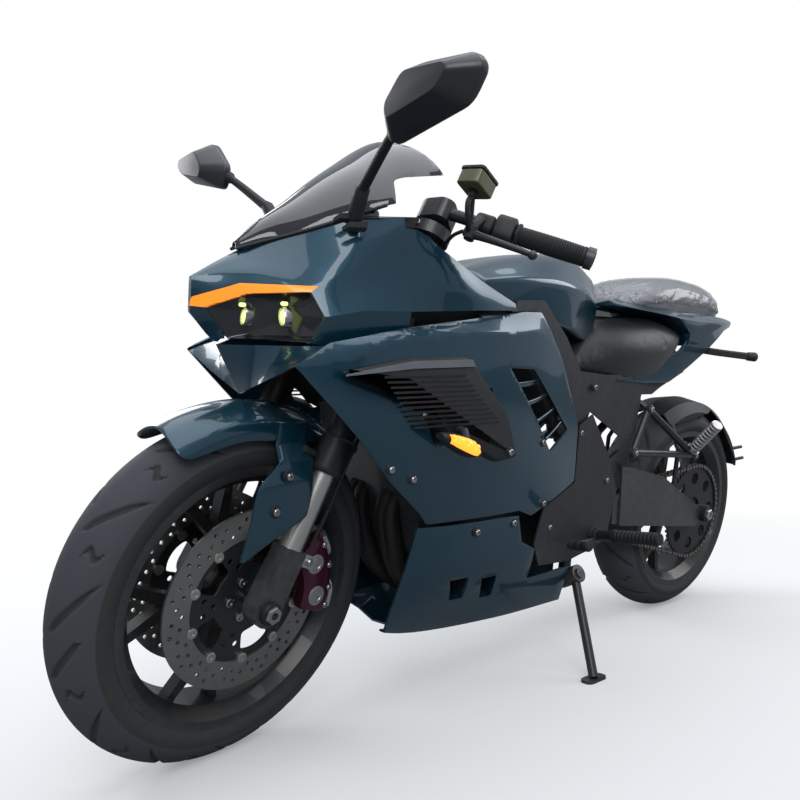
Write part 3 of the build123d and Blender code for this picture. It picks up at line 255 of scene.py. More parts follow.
finishes = {
    "tealLacquer": dict(light=(0.0040, 0.056, 0.094), dark=(0.0028, 0.040, 0.070), rough=0.30, metal=0.45, grain=2600,
                        patch=5, spread=0.05, bump=0.05, bumpDepth=0.0002, dust=0.05,
                        Coat_Weight=1.0, Coat_Roughness=0.04),
    "mouldedBlack": dict(light=(0.013, 0.014, 0.017), dark=(0.008, 0.009, 0.011), rough=0.50, grain=2400, bump=0.5,
                         bumpDepth=0.0005, dust=0.05, wear=0.5, worn=(0.10, 0.10, 0.11)),
    "lipGrey": dict(light=(0.20, 0.21, 0.23), dark=(0.13, 0.14, 0.16), rough=0.42, grain=2000, bump=0.2, dust=0.1),
    "glossBlack": dict(light=(0.020, 0.022, 0.028), dark=(0.012, 0.013, 0.017), rough=0.22, grain=1800, bump=0.08,
                       Coat_Weight=0.6, Coat_Roughness=0.1),
    "mirrorShell": dict(light=(0.030, 0.032, 0.038), dark=(0.020, 0.022, 0.026), rough=0.40, grain=2600, bump=0.15,
                        Coat_Weight=0.3, Coat_Roughness=0.2),
    "satinSteelBlack": dict(light=(0.014, 0.015, 0.018), dark=(0.009, 0.010, 0.012), rough=0.40, grain=1500,
                            bump=0.15, dust=0.05, wear=0.5, worn=(0.22, 0.22, 0.23), Coat_Weight=0.2),
    "castBlack": dict(light=(0.009, 0.010, 0.012), dark=(0.005, 0.006, 0.007), rough=0.34, grain=1300, bump=0.2,
                      bumpDepth=0.0006, dust=0.12, wear=0.5, worn=(0.16, 0.16, 0.17), Coat_Weight=0.3),
    "rubberTyre": dict(light=(0.050, 0.052, 0.056), dark=(0.028, 0.029, 0.032), rough=0.72, grain=1600, patch=9,
                       bump=0.35, bumpDepth=0.0006, dust=0.30),
    "groundSteel": dict(light=(0.36, 0.35, 0.34), dark=(0.25, 0.245, 0.24), rough=0.34, metal=0.9, grain=900,
                        patch=22, spread=0.2, bump=0.12, wear=0.3, worn=(0.6, 0.6, 0.6)),
    "machinedSteel": dict(light=(0.52, 0.52, 0.53), dark=(0.36, 0.36, 0.37), rough=0.28, metal=1.0, grain=700,
                          bump=0.08, patch=30),
    "boltSteel": dict(light=(0.50, 0.51, 0.52), dark=(0.33, 0.33, 0.34), rough=0.30, metal=1.0, grain=1400, bump=0.1,
                      wear=0.5, worn=(0.8, 0.8, 0.8)),
    "hardChrome": dict(light=(0.62, 0.60, 0.57), dark=(0.50, 0.48, 0.45), rough=0.28, metal=0.9, grain=1200,
                       patch=20, bump=0.05, dust=0.1),
    "anodisedGraphite": dict(light=(0.035, 0.036, 0.040), dark=(0.022, 0.023, 0.026), rough=0.36, metal=0.5,
                             grain=1500, bump=0.1, dust=0.08),
    "caliperSilver": dict(light=(0.55, 0.54, 0.53), dark=(0.34, 0.33, 0.32), rough=0.33, metal=0.9, grain=900,
                          bump=0.3, patch=40, wear=0.5, worn=(0.8, 0.8, 0.8)),
    "caliperWine": dict(light=(0.11, 0.012, 0.035), dark=(0.055, 0.008, 0.022), rough=0.38, metal=0.5, grain=1200,
                        bump=0.2, Coat_Weight=0.4),
    "gripRubber": dict(light=(0.022, 0.022, 0.024), dark=(0.012, 0.012, 0.014), rough=0.66, grain=1800, bump=0.4),
    "oliveResin": dict(light=(0.20, 0.185, 0.095), dark=(0.12, 0.11, 0.06), rough=0.22, grain=600, patch=30,
                       bump=0.05, Coat_Weight=0.5, Transmission_Weight=0.25),
    "engineAlloy": dict(light=(0.045, 0.046, 0.048), dark=(0.024, 0.025, 0.027), rough=0.50, metal=0.6, grain=900,
                        bump=0.5, bumpDepth=0.0008, dust=0.2),
    "seatVinyl": dict(light=(0.020, 0.021, 0.024), dark=(0.013, 0.014, 0.016), rough=0.46, grain=1300, patch=8,
                      bump=0.55, bumpDepth=0.0005, Sheen_Weight=0.1),
    "oiledChain": dict(light=(0.16, 0.145, 0.125), dark=(0.07, 0.065, 0.058), rough=0.38, metal=0.85, grain=800,
                       bump=0.3, patch=60),
    "exhaustBlack": dict(light=(0.030, 0.030, 0.032), dark=(0.018, 0.018, 0.019), rough=0.48, metal=0.4, grain=1200,
                         bump=0.3, dust=0.2, wear=0.6, worn=(0.2, 0.18, 0.16)),
}
made = {name: newMaterial(name, **values) for name, values in finishes.items()}


def glassMaterial(name, tint, rough, transmission, alpha, coat, glow=None, glowLevel=0.0):
    material = newMaterial(name, tint, tuple(v * 0.8 for v in tint), rough, grain=300, spread=0.02,
                           Transmission_Weight=transmission, IOR=1.45, Coat_Weight=coat, Alpha=alpha)
    if glow:
        shader = material.node_tree.nodes["Principled BSDF"]
        shader.inputs["Emission Color"].default_value = (*glow, 1)
        shader.inputs["Emission Strength"].default_value = glowLevel
    return material


# tint, roughness, transmission, alpha, coat, glow colour and its strength
glasses = {
    "smokedScreen": ((0.045, 0.045, 0.055), 0.03, 0.55, 1.0, 1.0),
    "smokedLens": ((0.11, 0.105, 0.095), 0.04, 0.80, 1.0, 1.0),
    "amberStrip": ((1.0, 0.30, 0.02), 0.25, 0.0, 1.0, 0.6, (1.0, 0.23, 0.01), 0.85),
    "amberLit": ((1.0, 0.28, 0.02), 0.2, 0.0, 1.0, 0.6, (1.0, 0.26, 0.02), 2.2),
    "lampSpot": ((0.85, 0.95, 0.35), 0.2, 0.0, 1.0, 0.4, (0.80, 0.95, 0.32), 1.3),
    "redLens": ((0.35, 0.008, 0.008), 0.12, 0.3, 1.0, 1.0),
    "clearWrap": ((0.62, 0.63, 0.67), 0.22, 0.0, 0.52, 0.8),
}
for glassName, values in glasses.items():
    made[glassName] = glassMaterial(glassName, *values)
made["silveredGlass"] = newMaterial("silveredGlass", (0.72, 0.74, 0.76), (0.70, 0.72, 0.74), 0.03, 1.0, grain=200)
print("materials ready:", len(made))

finishNodes = {
    "rubberTyre": ["front_tyre", "rear_tyre"],
    "castBlack": ["front_rim", "rear_rim", "fork_bottoms"],
    "groundSteel": ["front_discs", "rear_disc"],
    "anodisedGraphite": ["rear_sprocket", "fork_outer_tubes"],
    "boltSteel": ["front_axle", "rear_axle"],
    "hardChrome": ["fork_inner_tubes"],
    "satinSteelBlack": ["yokes", "handlebars", "side_stand", "frame", "radiator", "swingarm", "rear_shock",
                        "foot_pegs"],
    "gripRubber": ["grips"],
    "mouldedBlack": ["hand_controls", "rear_hugger", "dashboard", "side_scoops", "indicators", "frame_covers",
                     "side_trim"],
    "oliveResin": ["brake_reservoir"],
    "caliperWine": ["front_calipers", "rear_caliper"],
    "tealLacquer": ["front_fender", "nose_fairing", "chin_panel", "side_fairings", "belly_pan", "fuel_tank",
                    "tail_fairing"],
    "engineAlloy": ["engine_block"],
    "oiledChain": ["chain"],
    "exhaustBlack": ["exhaust"],
    "smokedLens": ["headlights"],
    "amberStrip": ["light_strips"],
    "smokedScreen": ["windscreen"],
    "mirrorShell": ["mirrors"],
    "seatVinyl": ["rider_seat", "pillion_seat"],
    "redLens": ["tail_light"],
}
for finishName, nodeNames in finishNodes.items():
    for nodeName in nodeNames:
        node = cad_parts[nodeName]
        node.data.materials.clear()
        node.data.materials.append(made[finishName])
print("frame pieces finished")

# ---- making pieces: points are millimetres on the upright, straight-steered machine ----


def turns(sides):
    return [2 * math.pi * k / sides for k in range(sides)]


def finishPiece(piece, body, materials, angle=32):
    for name in materials if isinstance(materials, list) else [materials]:
        piece.data.materials.append(made[name])
    piece.data.shade_smooth()
    piece.data.set_sharp_from_angle(angle=math.radians(angle))
    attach(piece, body)
    return piece


class Batch:  # gathers many small forms into one piece
    def __init__(self):
        self.points, self.faces, self.marks = [], [], []

    def add(self, points, faces, mark=0):
        start = len(self.points)
        self.points += [Vector(p) for p in points]
        self.faces += [tuple(start + i for i in face) for face in faces]
        self.marks += [mark] * len(faces)
        return self

    def merge(self, other):
        self.add(other.points, other.faces)
        self.marks[-len(other.faces):] = other.marks

    def piece(self, name, body, materials, slot, angle=32):
        thing = plainObject(name, [placing[body] @ (p / 1000) for p in self.points], self.faces)
        thing.data.polygons.foreach_set("material_index", self.marks)
        return finishPiece(thing, body, materials, angle)

    def tube(self, path, radius, sides=10, mark=0, closedEnds=True):
        path = [Vector(p) for p in path]
        radii = radius if isinstance(radius, (list, tuple)) else [radius] * len(path)
        rings = []
        side = None
        for i, p in enumerate(path):
            ahead = (path[min(i + 1, len(path) - 1)] - path[max(i - 1, 0)]).normalized()
            if side is None:
                side = ahead.orthogonal().normalized()
            side = (side - ahead * side.dot(ahead)).normalized()
            other = ahead.cross(side)
            rings.append([p + (side * math.cos(a) + other * math.sin(a)) * radii[i]
                          for a in turns(sides)])
        return self.rings(rings, mark, closedEnds)

    def rings(self, rings, mark=0, closedEnds=True, loop=False):
        count = len(rings[0])
        points = [p for ring in rings for p in ring]
        faces = []
        last = len(rings) if loop else len(rings) - 1
        for i in range(last):
            for k in range(count):
                a, b = i * count + k, i * count + (k + 1) % count
                c = ((i + 1) % len(rings)) * count
                faces.append((a, b, c + (k + 1) % count, c + k))
        if closedEnds and not loop:
            faces.append(tuple(reversed(range(count))))
            faces.append(tuple((len(rings) - 1) * count + k for k in range(count)))
        return self.add(points, faces, mark)

    def turned(self, centre, axis, profile, sides=16, mark=0):  # profile: (along the axis, radius)
        axis = Vector(axis).normalized()
        side = axis.orthogonal().normalized()
        other = axis.cross(side)
        rings = [[Vector(centre) + axis * along + (side * math.cos(a) + other * math.sin(a)) * max(radius, 0.05)
                  for a in turns(sides)] for along, radius in profile]
        return self.rings(rings, mark)

    def block(self, corners, mark=0):  # eight corners: four of one face, then four of the other
        return self.add(corners, [(0, 1, 2, 3), (7, 6, 5, 4), (0, 4, 5, 1), (1, 5, 6, 2), (2, 6, 7, 3), (3, 7, 4, 0)],
                        mark)

    def bolt(self, place, normal, radius=6, height=4, mark=0, collar=None, collarMark=0):
        place, normal = Vector(place), Vector(normal).normalized()
        if collar:
            self.turned(place - normal * 1.5, normal, [(0, collar), (2.3, collar), (2.8, collar - 0.7)], 18, collarMark)
        lift = 2.3 if collar else 0
        self.turned(place + normal * (lift - 1.5), normal,
                    [(0, radius), (height * 0.65 + 1.5, radius), (height + 1.5, radius * 0.78),
                     (height + 1.5, radius * 0.52), (height - 1.2, radius * 0.45), (height - 1.2, 0.1)], 12, mark)
        return self


def hermite(a, b, slopeA, slopeB, t):
    return (a * (2 * t ** 3 - 3 * t ** 2 + 1) + slopeA * (t ** 3 - 2 * t ** 2 + t)
            + b * (3 * t ** 2 - 2 * t ** 3) + slopeB * (t ** 3 - t ** 2))


def smoothLine(points, steps, creases=(), stiff=1.0):
    points = [Vector(p) for p in points]
    last = len(points) - 1
    line = []
    for i in range(last):
        chord = points[i + 1] - points[i]
        slopes = []
        for k in (i, i + 1):
            if k in creases or k in (0, last):
                slopes.append(chord)
            else:
                before, after = points[k] - points[k - 1], points[k + 1] - points[k]
                share = before.length / (before.length + after.length)
                blendSlope = before / before.length * (1 - share) + after / after.length * share
                slopes.append((blendSlope * chord.length) * stiff + chord * (1 - stiff))
        for step in range(steps):
            line.append(hermite(points[i], points[i + 1], slopes[0], slopes[1], step / steps))
    line.append(points[-1])
    return line


def smoothRows(rows, along=6, across=4, creases=(), rowCreases=()):
    # rows are (x, (y, z), ...) from the crown down one side; gives the finer grid of points
    columns = []
    for index in range(len(rows[0]) - 1):
        columns.append(smoothLine([(row[0], *row[1 + index]) for row in rows], along, rowCreases))
    grid = []
    for i in range(len(columns[0])):
        grid.append(smoothLine([column[i] for column in columns], across, creases))
    return grid


def closedHull(grid):  # left-hand grid mirrored to a closed body
    rings = []
    for row in grid:
        right = [Vector((p.x, -p.y, p.z)) for p in reversed(row) if abs(p.y) > 0.01]
        rings.append(row + right)
    count = min(len(ring) for ring in rings)
    return [ring[:count] for ring in rings]


def meshFromRings(rings):
    batch = Batch().rings(rings)
    return batch.points, batch.faces


def ringObject(name, rings):
    return plainObject(name, *meshFromRings(rings))


def plainObject(name, points, faces):
    mesh = bpy.data.meshes.new(name)
    mesh.from_pydata([Vector(p) for p in points], [], faces)
    thing = bpy.data.objects.new(name, mesh)
    scene.collection.objects.link(thing)
    return faceOutward(thing)


def faceOutward(thing, weld=None):  # welds points closer than this, then turns every face outward
    edit = bmesh.new()
    edit.from_mesh(thing.data)
    if weld:
        bmesh.ops.remove_doubles(edit, verts=edit.verts, dist=weld)
    bmesh.ops.recalc_face_normals(edit, faces=edit.faces)
    edit.to_mesh(thing.data)
    edit.free()
    return thing


def prismObject(name, outline, low, high, axes="xz"):
    # an outline drawn from the side (x, z), from ahead (y, z) or from above (x, y), pushed from low to high
    def at(a, b, c):
        return {"xz": (a, c, b), "yz": (c, a, b), "xy": (a, b, c)}[axes]
    count = len(outline)
    points = [at(a, b, low) for a, b in outline] + [at(a, b, high) for a, b in outline]
    faces = [tuple(range(count)), tuple(reversed(range(count, 2 * count)))]
    faces += [(k, (k + 1) % count, count + (k + 1) % count, count + k) for k in range(count)]
    return plainObject(name, points, faces)


def carve(thing, tool, how="DIFFERENCE"):
    cut = thing.modifiers.new("cut", "BOOLEAN")
    cut.operation = how
    cut.solver = "EXACT"
    cut.object = tool
    applyModifiers(thing)
    bpy.data.objects.remove(tool)
    return thing


def applyModifiers(thing):
    graph = bpy.context.evaluated_depsgraph_get()
    mesh = bpy.data.meshes.new_from_object(thing.evaluated_get(graph))
    thing.modifiers.clear()
    old = thing.data
    thing.data = mesh
    bpy.data.meshes.remove(old)
    return thing


def softenEdges(thing, width, angle, segments):
    edge = thing.modifiers.new("softEdges", "BEVEL")
    edge.width = width
    edge.segments = segments
    edge.limit_method = "ANGLE"
    edge.angle_limit = math.radians(angle)
    edge.use_clamp_overlap = True
    return applyModifiers(thing)


def settle(thing, name, body, materials, angle=28):  # millimetre object to a finished piece
    thing.data.transform(placing[body] @ Matrix.Scale(0.001, 4))
    thing.name = name
    thing.data.name = name
    thing.data.materials.clear()
    return finishPiece(thing, body, materials, angle)


def roundedOutline(outline, radius, steps=4):
    result = []
    count = len(outline)
    for i in range(count):
        corner = Vector(outline[i])
        before, after = Vector(outline[i - 1]) - corner, Vector(outline[(i + 1) % count]) - corner
        reach = min(radius, before.length * 0.45, after.length * 0.45)
        a, b = corner + before.normalized() * reach, corner + after.normalized() * reach
        for k in range(steps + 1):
            t = k / steps
            result.append(tuple(a * (1 - t) ** 2 + corner * 2 * t * (1 - t) + b * t ** 2))
    return result


def insideLoop(p, loop):
    inside = False
    for (ax, az), (bx, bz) in zip(loop, loop[1:] + loop[:1]):
        if (az > p.y) != (bz > p.y) and p.x < ax + (p.y - az) / (bz - az) * (bx - ax):
            inside = not inside
    return inside


def panelObject(name, outline, depth, spacing=12, holes=(), lines=(), thickness=4, radius=6):
    # a curved panel: its side-view outline filled with triangles and carried out to depth(x, z)
    loops = [roundedOutline(outline, radius)] + [roundedOutline(hole, 5) for hole in holes]
    flat, edges = [], []
    for loop in loops:
        start = len(flat)
        dense = []
        for k, p in enumerate(loop):
            q = loop[(k + 1) % len(loop)]
            parts = max(1, round((Vector(q) - Vector(p)).length / spacing))
            dense += [Vector(p).lerp(Vector(q), s / parts) for s in range(parts)]
        flat += dense
        edges += [(start + k, start + (k + 1) % len(dense)) for k in range(len(dense))]
    for line in lines:
        start = len(flat)
        flat += [Vector(p) for p in line]
        edges += [(start + k, start + k + 1) for k in range(len(line) - 1)]
    lows = [min(p[i] for p in flat) for i in (0, 1)]
    highs = [max(p[i] for p in flat) for i in (0, 1)]
    row = 0
    z = lows[1] + spacing * 0.5
    while z < highs[1]:
        x = lows[0] + spacing * (0.5 if row % 2 else 0.0)
        while x < highs[0]:
            flat.append(Vector((x, z)))
            x += spacing
        z += spacing * 0.87
        row += 1
    filled = delaunay_2d_cdt(flat, edges, [], 0, 0.01)
    points, faces = filled[0], filled[2]

    def covered(face):  # within the outline and in none of the holes
        middle = sum((points[k] for k in face), Vector((0, 0))) / len(face)
        return [insideLoop(middle, loop) for loop in loops] == [True] + [False] * len(holes)

    faces = [face for face in faces if covered(face)]
    used = sorted({k for face in faces for k in face})
    renamed = {k: i for i, k in enumerate(used)}
    points = [points[k] for k in used]
    faces = [tuple(renamed[k] for k in face) for face in faces]
    thing = plainObject(name, [(p.x, depth(p.x, p.y), p.y) for p in points], faces)
    outward = sum((face.normal.y * face.area for face in thing.data.polygons), 0.0)
    if outward < 0:
        thing.data.flip_normals()
    shell = thing.modifiers.new("wall", "SOLIDIFY")
    shell.thickness = thickness
    shell.offset = -1
    shell.use_even_offset = True
    return applyModifiers(thing)


def mirrorObject(thing):
    copy = thing.copy()
    copy.data = thing.data.copy()
    copy.data.transform(Matrix.Scale(-1, 4, (0, 1, 0)))
    copy.data.flip_normals()
    scene.collection.objects.link(copy)
    return copy


def joinObjects(things):
    base, *others = things
    edit = bmesh.new()
    for thing in things:
        edit.from_mesh(thing.data)
    edit.to_mesh(base.data)
    edit.free()
    for thing in others:
        bpy.data.objects.remove(thing)
    return base


def plateMesh(loops, thickness):  # a flat plate with holes, from a filled curve; centred on z = 0
    curve = bpy.data.curves.new("plate", "CURVE")
    curve.dimensions = "2D"
    curve.fill_mode = "BOTH"
    curve.extrude = thickness / 2
    for loop in loops:
        spline = curve.splines.new("POLY")
        spline.points.add(len(loop) - 1)
        for point, (x, y) in zip(spline.points, loop):
            point.co = (x, y, 0, 1)
        spline.use_cyclic_u = True
    holder = bpy.data.objects.new("plate", curve)
    scene.collection.objects.link(holder)
    mesh = bpy.data.meshes.new_from_object(holder)
    bpy.data.objects.remove(holder)
    bpy.data.curves.remove(curve)
    points = [vertex.co.copy() for vertex in mesh.vertices]
    faces = [tuple(face.vertices) for face in mesh.polygons]
    bpy.data.meshes.remove(mesh)
    return points, faces


def circleLoop(x, y, radius, sides=16, turn=0.0):
    return [(x + radius * math.cos(turn + a), y + radius * math.sin(turn + a)) for a in turns(sides)]


def turnLoop(loop, degrees):
    c, s = math.cos(math.radians(degrees)), math.sin(math.radians(degrees))
    return [(x * c - y * s, x * s + y * c) for x, y in loop]


def onWheel(axle, points, y):  # a plate drawn on the wheel's side: x ahead, y up become machine x and z
    return [(axle[0] + p[0], y + p[2], axle[2] + p[1]) for p in points]


# ---- tyres: arc tread with cut grooves, plain walls with fine rings ----
tyres = {
    "front_tyre": dict(axle=(700, 0, 300), width=118, body="front_wheel", hand=1),
    "rear_tyre": dict(axle=(-700, 0, 300), width=142, body="rear_wheel", hand=-1),
}
tread = {"radius": 300, "shoulder": 243, "flange": 227.3, "depth": 4.2, "steps": 750, "across": 68, "beadShare": 0.40,
         # share of the tread width, from the middle out, that takes the painted sheen on the crown
         "lip": 7, "inner": 216.3, "pitch": 28.8, "wallRows": 9, "paintedSheenWidth": 0.86,
         # a groove's first and last share of the way to the shoulder, how fast it opens and closes, its width,
         # its least width and how soft its wall is
         "long": (0.05, 0.80, 9, 4, 1.05, 0.15, 0.45), "short": (0.26, 0.66, 8, 8, 0.75, 0.12, 0.4)}


def grooveDepth(around, side, hand):  # around in degrees, side from -1 to 1 across the tread
    share, pitch = abs(side), tread["pitch"]
    around -= pitch / 4 if side < 0 else 0.0
    climb = 0.2 + 24.0 * share ** 1.15 - pitch / 2  # the long groove runs from the crown to the shoulder
    bend = share - tread["short"][0]  # the short one between two long ones is bent like an S
    curve = 17.0 * bend + 2.6 * math.sin(bend / 0.40 * 2 * math.pi) + 7.5
    best = 0.0
    for kind, path in (("long", climb), ("short", curve)):
        first, last, opens, closes, width, least, soft = tread[kind]
        if first < share < last:
            off = abs((around - hand * path) % pitch - pitch / 2)
            wide = width * min(1.0, (share - first) * opens, (last - share) * closes) + least
            best = max(best, min(1.0, (wide - off * 0.62) / soft))
    return best


def buildTyre(name, axle, width, body, hand):
    half = width / 2
    top, shoulder = tread["radius"], tread["shoulder"]
    middle = (top ** 2 - shoulder ** 2 - half ** 2) / (2 * (top - shoulder))
    arc = top - middle
    spanAngle = math.atan2(half, shoulder - middle)
    bead = width * tread["beadShare"]
    wallRows = tread["wallRows"]
    lipY = bead + tread["lip"]
    rings = []
    for step in range(tread["steps"]):
        around = 360 * step / tread["steps"]
        c, s = math.cos(math.radians(around)), math.sin(math.radians(around))
        ring = []
        for k in range(tread["across"] + 1):
            side = 2 * k / tread["across"] - 1
            cut = tread["depth"] * grooveDepth(around, side, hand)
            angle = side * spanAngle
            r = middle + (arc - cut) * math.cos(angle)
            y = (arc - cut) * math.sin(angle)
            ring.append((r, y))
        walls = []
        for k in range(1, wallRows + 1):
            t = k / wallRows
            r = shoulder + (tread["flange"] - shoulder) * t
            y = half + (lipY - half) * t ** 1.6 - (0.55 if k % 3 == 1 and k < wallRows else 0.0)
            walls.append((r, y))
        inside = [(tread["flange"], bead), (tread["inner"], bead)]
        profile = ring + walls + inside + [(r, -y) for r, y in reversed(inside)] + [(r, -y) for r, y in reversed(walls)]
        rings.append([(axle[0] + r * c, y, axle[2] + r * s) for r, y in profile])
    batch = Batch().rings(rings, closedEnds=False, loop=True)
    piece = batch.piece(name + "_treaded", body, "rubberTyre", "tyre", angle=50)
    count = len(rings[0])
    # painted light mask kept as a point attribute: 1 on the tread crown between the grooves, where a painted bluish
    # sheen goes, 0 in the grooves and on the walls, where painted shade goes
    wear = piece.data.attributes.new("paintedSheenShare", "FLOAT", "POINT")
    values = []
    for i in range(len(piece.data.vertices)):
        row = i % count
        side = 2 * row / tread["across"] - 1
        shown = 1.0 if row <= tread["across"] and abs(side) < tread["paintedSheenWidth"] else 0.0
        values.append(shown * (1.0 - grooveDepth(360 * (i // count) / tread["steps"], side, hand)))
    wear.data.foreach_set("value", values)
    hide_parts(name)


# painted light on the tyres: painted shade darkens the grooves and walls, a painted bluish sheen lightens the crown
# between the grooves
tyreTree = made["rubberTyre"].node_tree
paintedSheenMask = tyreTree.nodes.new("ShaderNodeAttribute")
paintedSheenMask.attribute_name = "paintedSheenShare"
tyreShader = tyreTree.nodes["Principled BSDF"]
tyreColour = tyreShader.inputs["Base Color"].links[0].from_socket
paintedGrooveShade = mixColour(tyreTree, 0.45, tyreColour, (0.010, 0.011, 0.013))
paintedCrownSheen = mixColour(tyreTree, 0.75, tyreColour, (0.062, 0.068, 0.082))
tyreTree.links.new(mixColour(tyreTree, paintedSheenMask.outputs["Fac"], paintedGrooveShade, paintedCrownSheen), tyreShader.inputs["Base Color"])
for tyreName, values in tyres.items():
    buildTyre(tyreName, **values)
print("tyres treaded")

# ---- brake discs: ground rings with drilled rows, dark carriers with windows, button bolts ----
discs = {
    "frontLeft": dict(axle=(700, 0, 300), y=58, outer=155, inner=108, holes=15, body="front_wheel", outside=1),
    "frontRight": dict(axle=(700, 0, 300), y=-58, outer=155, inner=108, holes=15, body="front_wheel", outside=-1),
    "rear": dict(axle=(-700, 0, 300), y=-86, outer=110, inner=72, holes=12, body="rear_wheel", outside=-1),
}
discDetail = {"holeRadius": 3.6, "thickness": 5.0, "carrier": 4.4, "inset": 4.6,
              "rows": ((0.26, 0.0), (0.50, 0.26), (0.74, 0.5), (0.36, 0.62), (0.64, 0.84)),
              "window": [(58, -21), (60, 0), (58, 21), (88, 30), (96, 14), (98, 0), (96, -14), (88, -30)],
              "bore": 21, "arms": 5, "armHoles": ((-9, 80), (9, 80), (0, 62)), "armHole": 5.2, "boltCircle": 32,
              "button": [(-3, 9), (8.2, 9), (8.8, 8), (8.8, 4), (6.5, 3.6), (6.5, 0.1)],
              "bolt": [(0, 8), (6, 8), (7, 6.6), (7, 4), (4.5, 3.8), (4.5, 0.1)]}
discFinish = ["groundSteel", "satinSteelBlack", "hardChrome", "boltSteel"]


def buildDisc(axle, y, outer, inner, holes, body, outside):
    loops = [circleLoop(0, 0, outer, 96), circleLoop(0, 0, inner, 72)]
    width = outer - inner
    for k in range(holes):
        for share, shift in discDetail["rows"]:
            angle = 360 / holes * (k + shift)
            r = inner + width * share
            loops.append(circleLoop(r * math.cos(math.radians(angle)), r * math.sin(math.radians(angle)),
                                    discDetail["holeRadius"], 10))
    ring = plateMesh(loops, discDetail["thickness"])
    scale = inner / 108
    windows = [circleLoop(0, 0, inner + 5, 80), circleLoop(0, 0, discDetail["bore"], 32)]
    arms = discDetail["arms"]
    shape = roundedOutline([(x * scale, z * scale) for x, z in discDetail["window"]], 7 * scale, 3)
    for k in range(arms):
        windows.append(turnLoop(shape, 360 / arms * (k + 0.5)))
        for angle, r in discDetail["armHoles"]:
            hole = circleLoop(r * scale, 0, discDetail["armHole"] * scale, 12)
            windows.append(turnLoop(hole, 360 / arms * k + angle))
    carrier = plateMesh(windows, discDetail["carrier"])
    batch = Batch()
    batch.add(onWheel(axle, ring[0], y), ring[1], 0)
    inward = -outside * discDetail["inset"]
    batch.add(onWheel(axle, carrier[0], y + inward), carrier[1], 1)
    for count, first, r, form, sides, mark in ((2 * arms, 18, inner - 2, "button", 16, 2),
                                               (arms, 0, discDetail["boltCircle"], "bolt", 14, 3)):
        for k in range(count):
            angle = math.radians(360 / count * k + first)
            place = (axle[0] + r * math.cos(angle), y + inward, axle[2] + r * math.sin(angle))
            batch.turned(place, (0, outside, 0), discDetail[form], sides, mark)
    return batch


frontDiscs = Batch()
for side in ("frontLeft", "frontRight"):
    frontDiscs.merge(buildDisc(**discs[side]))
for side in (-1, 1):  # the stepped hub face each carrier is bolted to
    frontDiscs.turned((700, side * 44, 300), (0, side, 0), [(0, 44), (5.2, 44), (7.2, 42), (8.2, 20)], 40, 1)
piece = frontDiscs.piece("front_discs_drilled", "front_wheel", discFinish, "disc", 30)
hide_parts("front_discs")
piece = buildDisc(**discs["rear"]).turned((-700, -74.2, 300), (0, -1, 0), [(0, 40), (5, 40), (7, 38), (8, 22)], 36, 1)
piece = piece.piece("rear_disc_drilled", "rear_wheel", discFinish, "disc", 30)
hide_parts("rear_disc")
print("discs drilled")

# ---- body panels: the same rows as the solids, carried through smooth lines with their creases kept ----
wall = 4
nose = {
    "rows": [(784, (0, 823), (2, 822.5), (4, 822), (5, 815), (5, 775), (3, 766)),
             (740, (0, 852), (10, 848), (28, 832), (36, 815), (41, 775), (2, 722)),
             (700, (0, 876), (12, 874), (60, 836), (70, 815), (77, 775), (56, 724)),
             (626, (0, 912), (66, 908), (124, 826), (131, 813), (148, 772), (141, 729)),
             (560, (0, 945), (110, 938), (138, 869), (148, 829), (168, 787), (160, 735)),
             (474, (0, 962), (146, 950), (150, 940), (167, 848), (183, 792), (176, 742))],
    "creases": (1, 2, 3, 4), "rowCreases": (2, 4), "middle": (0, 790), "lowDrop": 12,
    "lamp": [(18, 775), (60, 801.5), (126, 810.5), (150, 772), (136, 733), (18, 727)],
    "strip": [(2, 776), (6, 790), (50, 817), (128, 820), (126, 810.5), (60, 801.5), (18, 775)],
    "trim": [(640, 700), (640, 730), (728, 730), (760, 745), (760, 700)],
    "cheeks": [(490, (146, 931), (162, 845), (178.5, 790)), (445, (152, 931), (174, 854), (185, 794)),
               (400, (163, 906), (184, 862), (189, 798)), (300, (182, 853), (190, 830), (194, 806)),
               (226, (188, 824), (190, 818), (191, 811))],
}


def shrinkRow(row, amount):  # moved inward, its lowest point let down past the edge
    x, *points = row
    inner = []
    for y, z in points[:-1]:
        step = (Vector(nose["middle"]) - Vector((y, z))).normalized() * amount
        inner.append((y + step.x if y else 0, z + step.y))
    y, z = points[-1]
    return (x, *inner, (max(y - amount, 1), z - nose["lowDrop"]))


def hullObject(name, rows, along=6, across=3, creases=(), rowCreases=()):
    return faceOutward(ringObject(name, closedHull(smoothRows(rows, along, across, creases, rowCreases))), 0.05)


def noseHull(name, inset=0.0):
    rows = nose["rows"]
    if inset:
        rows = [shrinkRow(row, inset) for row in rows[1:]]
        rows[0] = (735, *rows[0][1:])
        rows[-1] = (rows[-1][0] - 3, *rows[-1][1:])
        return hullObject(name, rows, 6, 3, nose["creases"], (1, 3))
    return hullObject(name, rows, 6, 3, nose["creases"], nose["rowCreases"])


def windows(name, outline):  # one on each side, drawn from ahead
    left = prismObject(name, outline, 540, 800, "yz")
    return joinObjects([left, mirrorObject(left)])


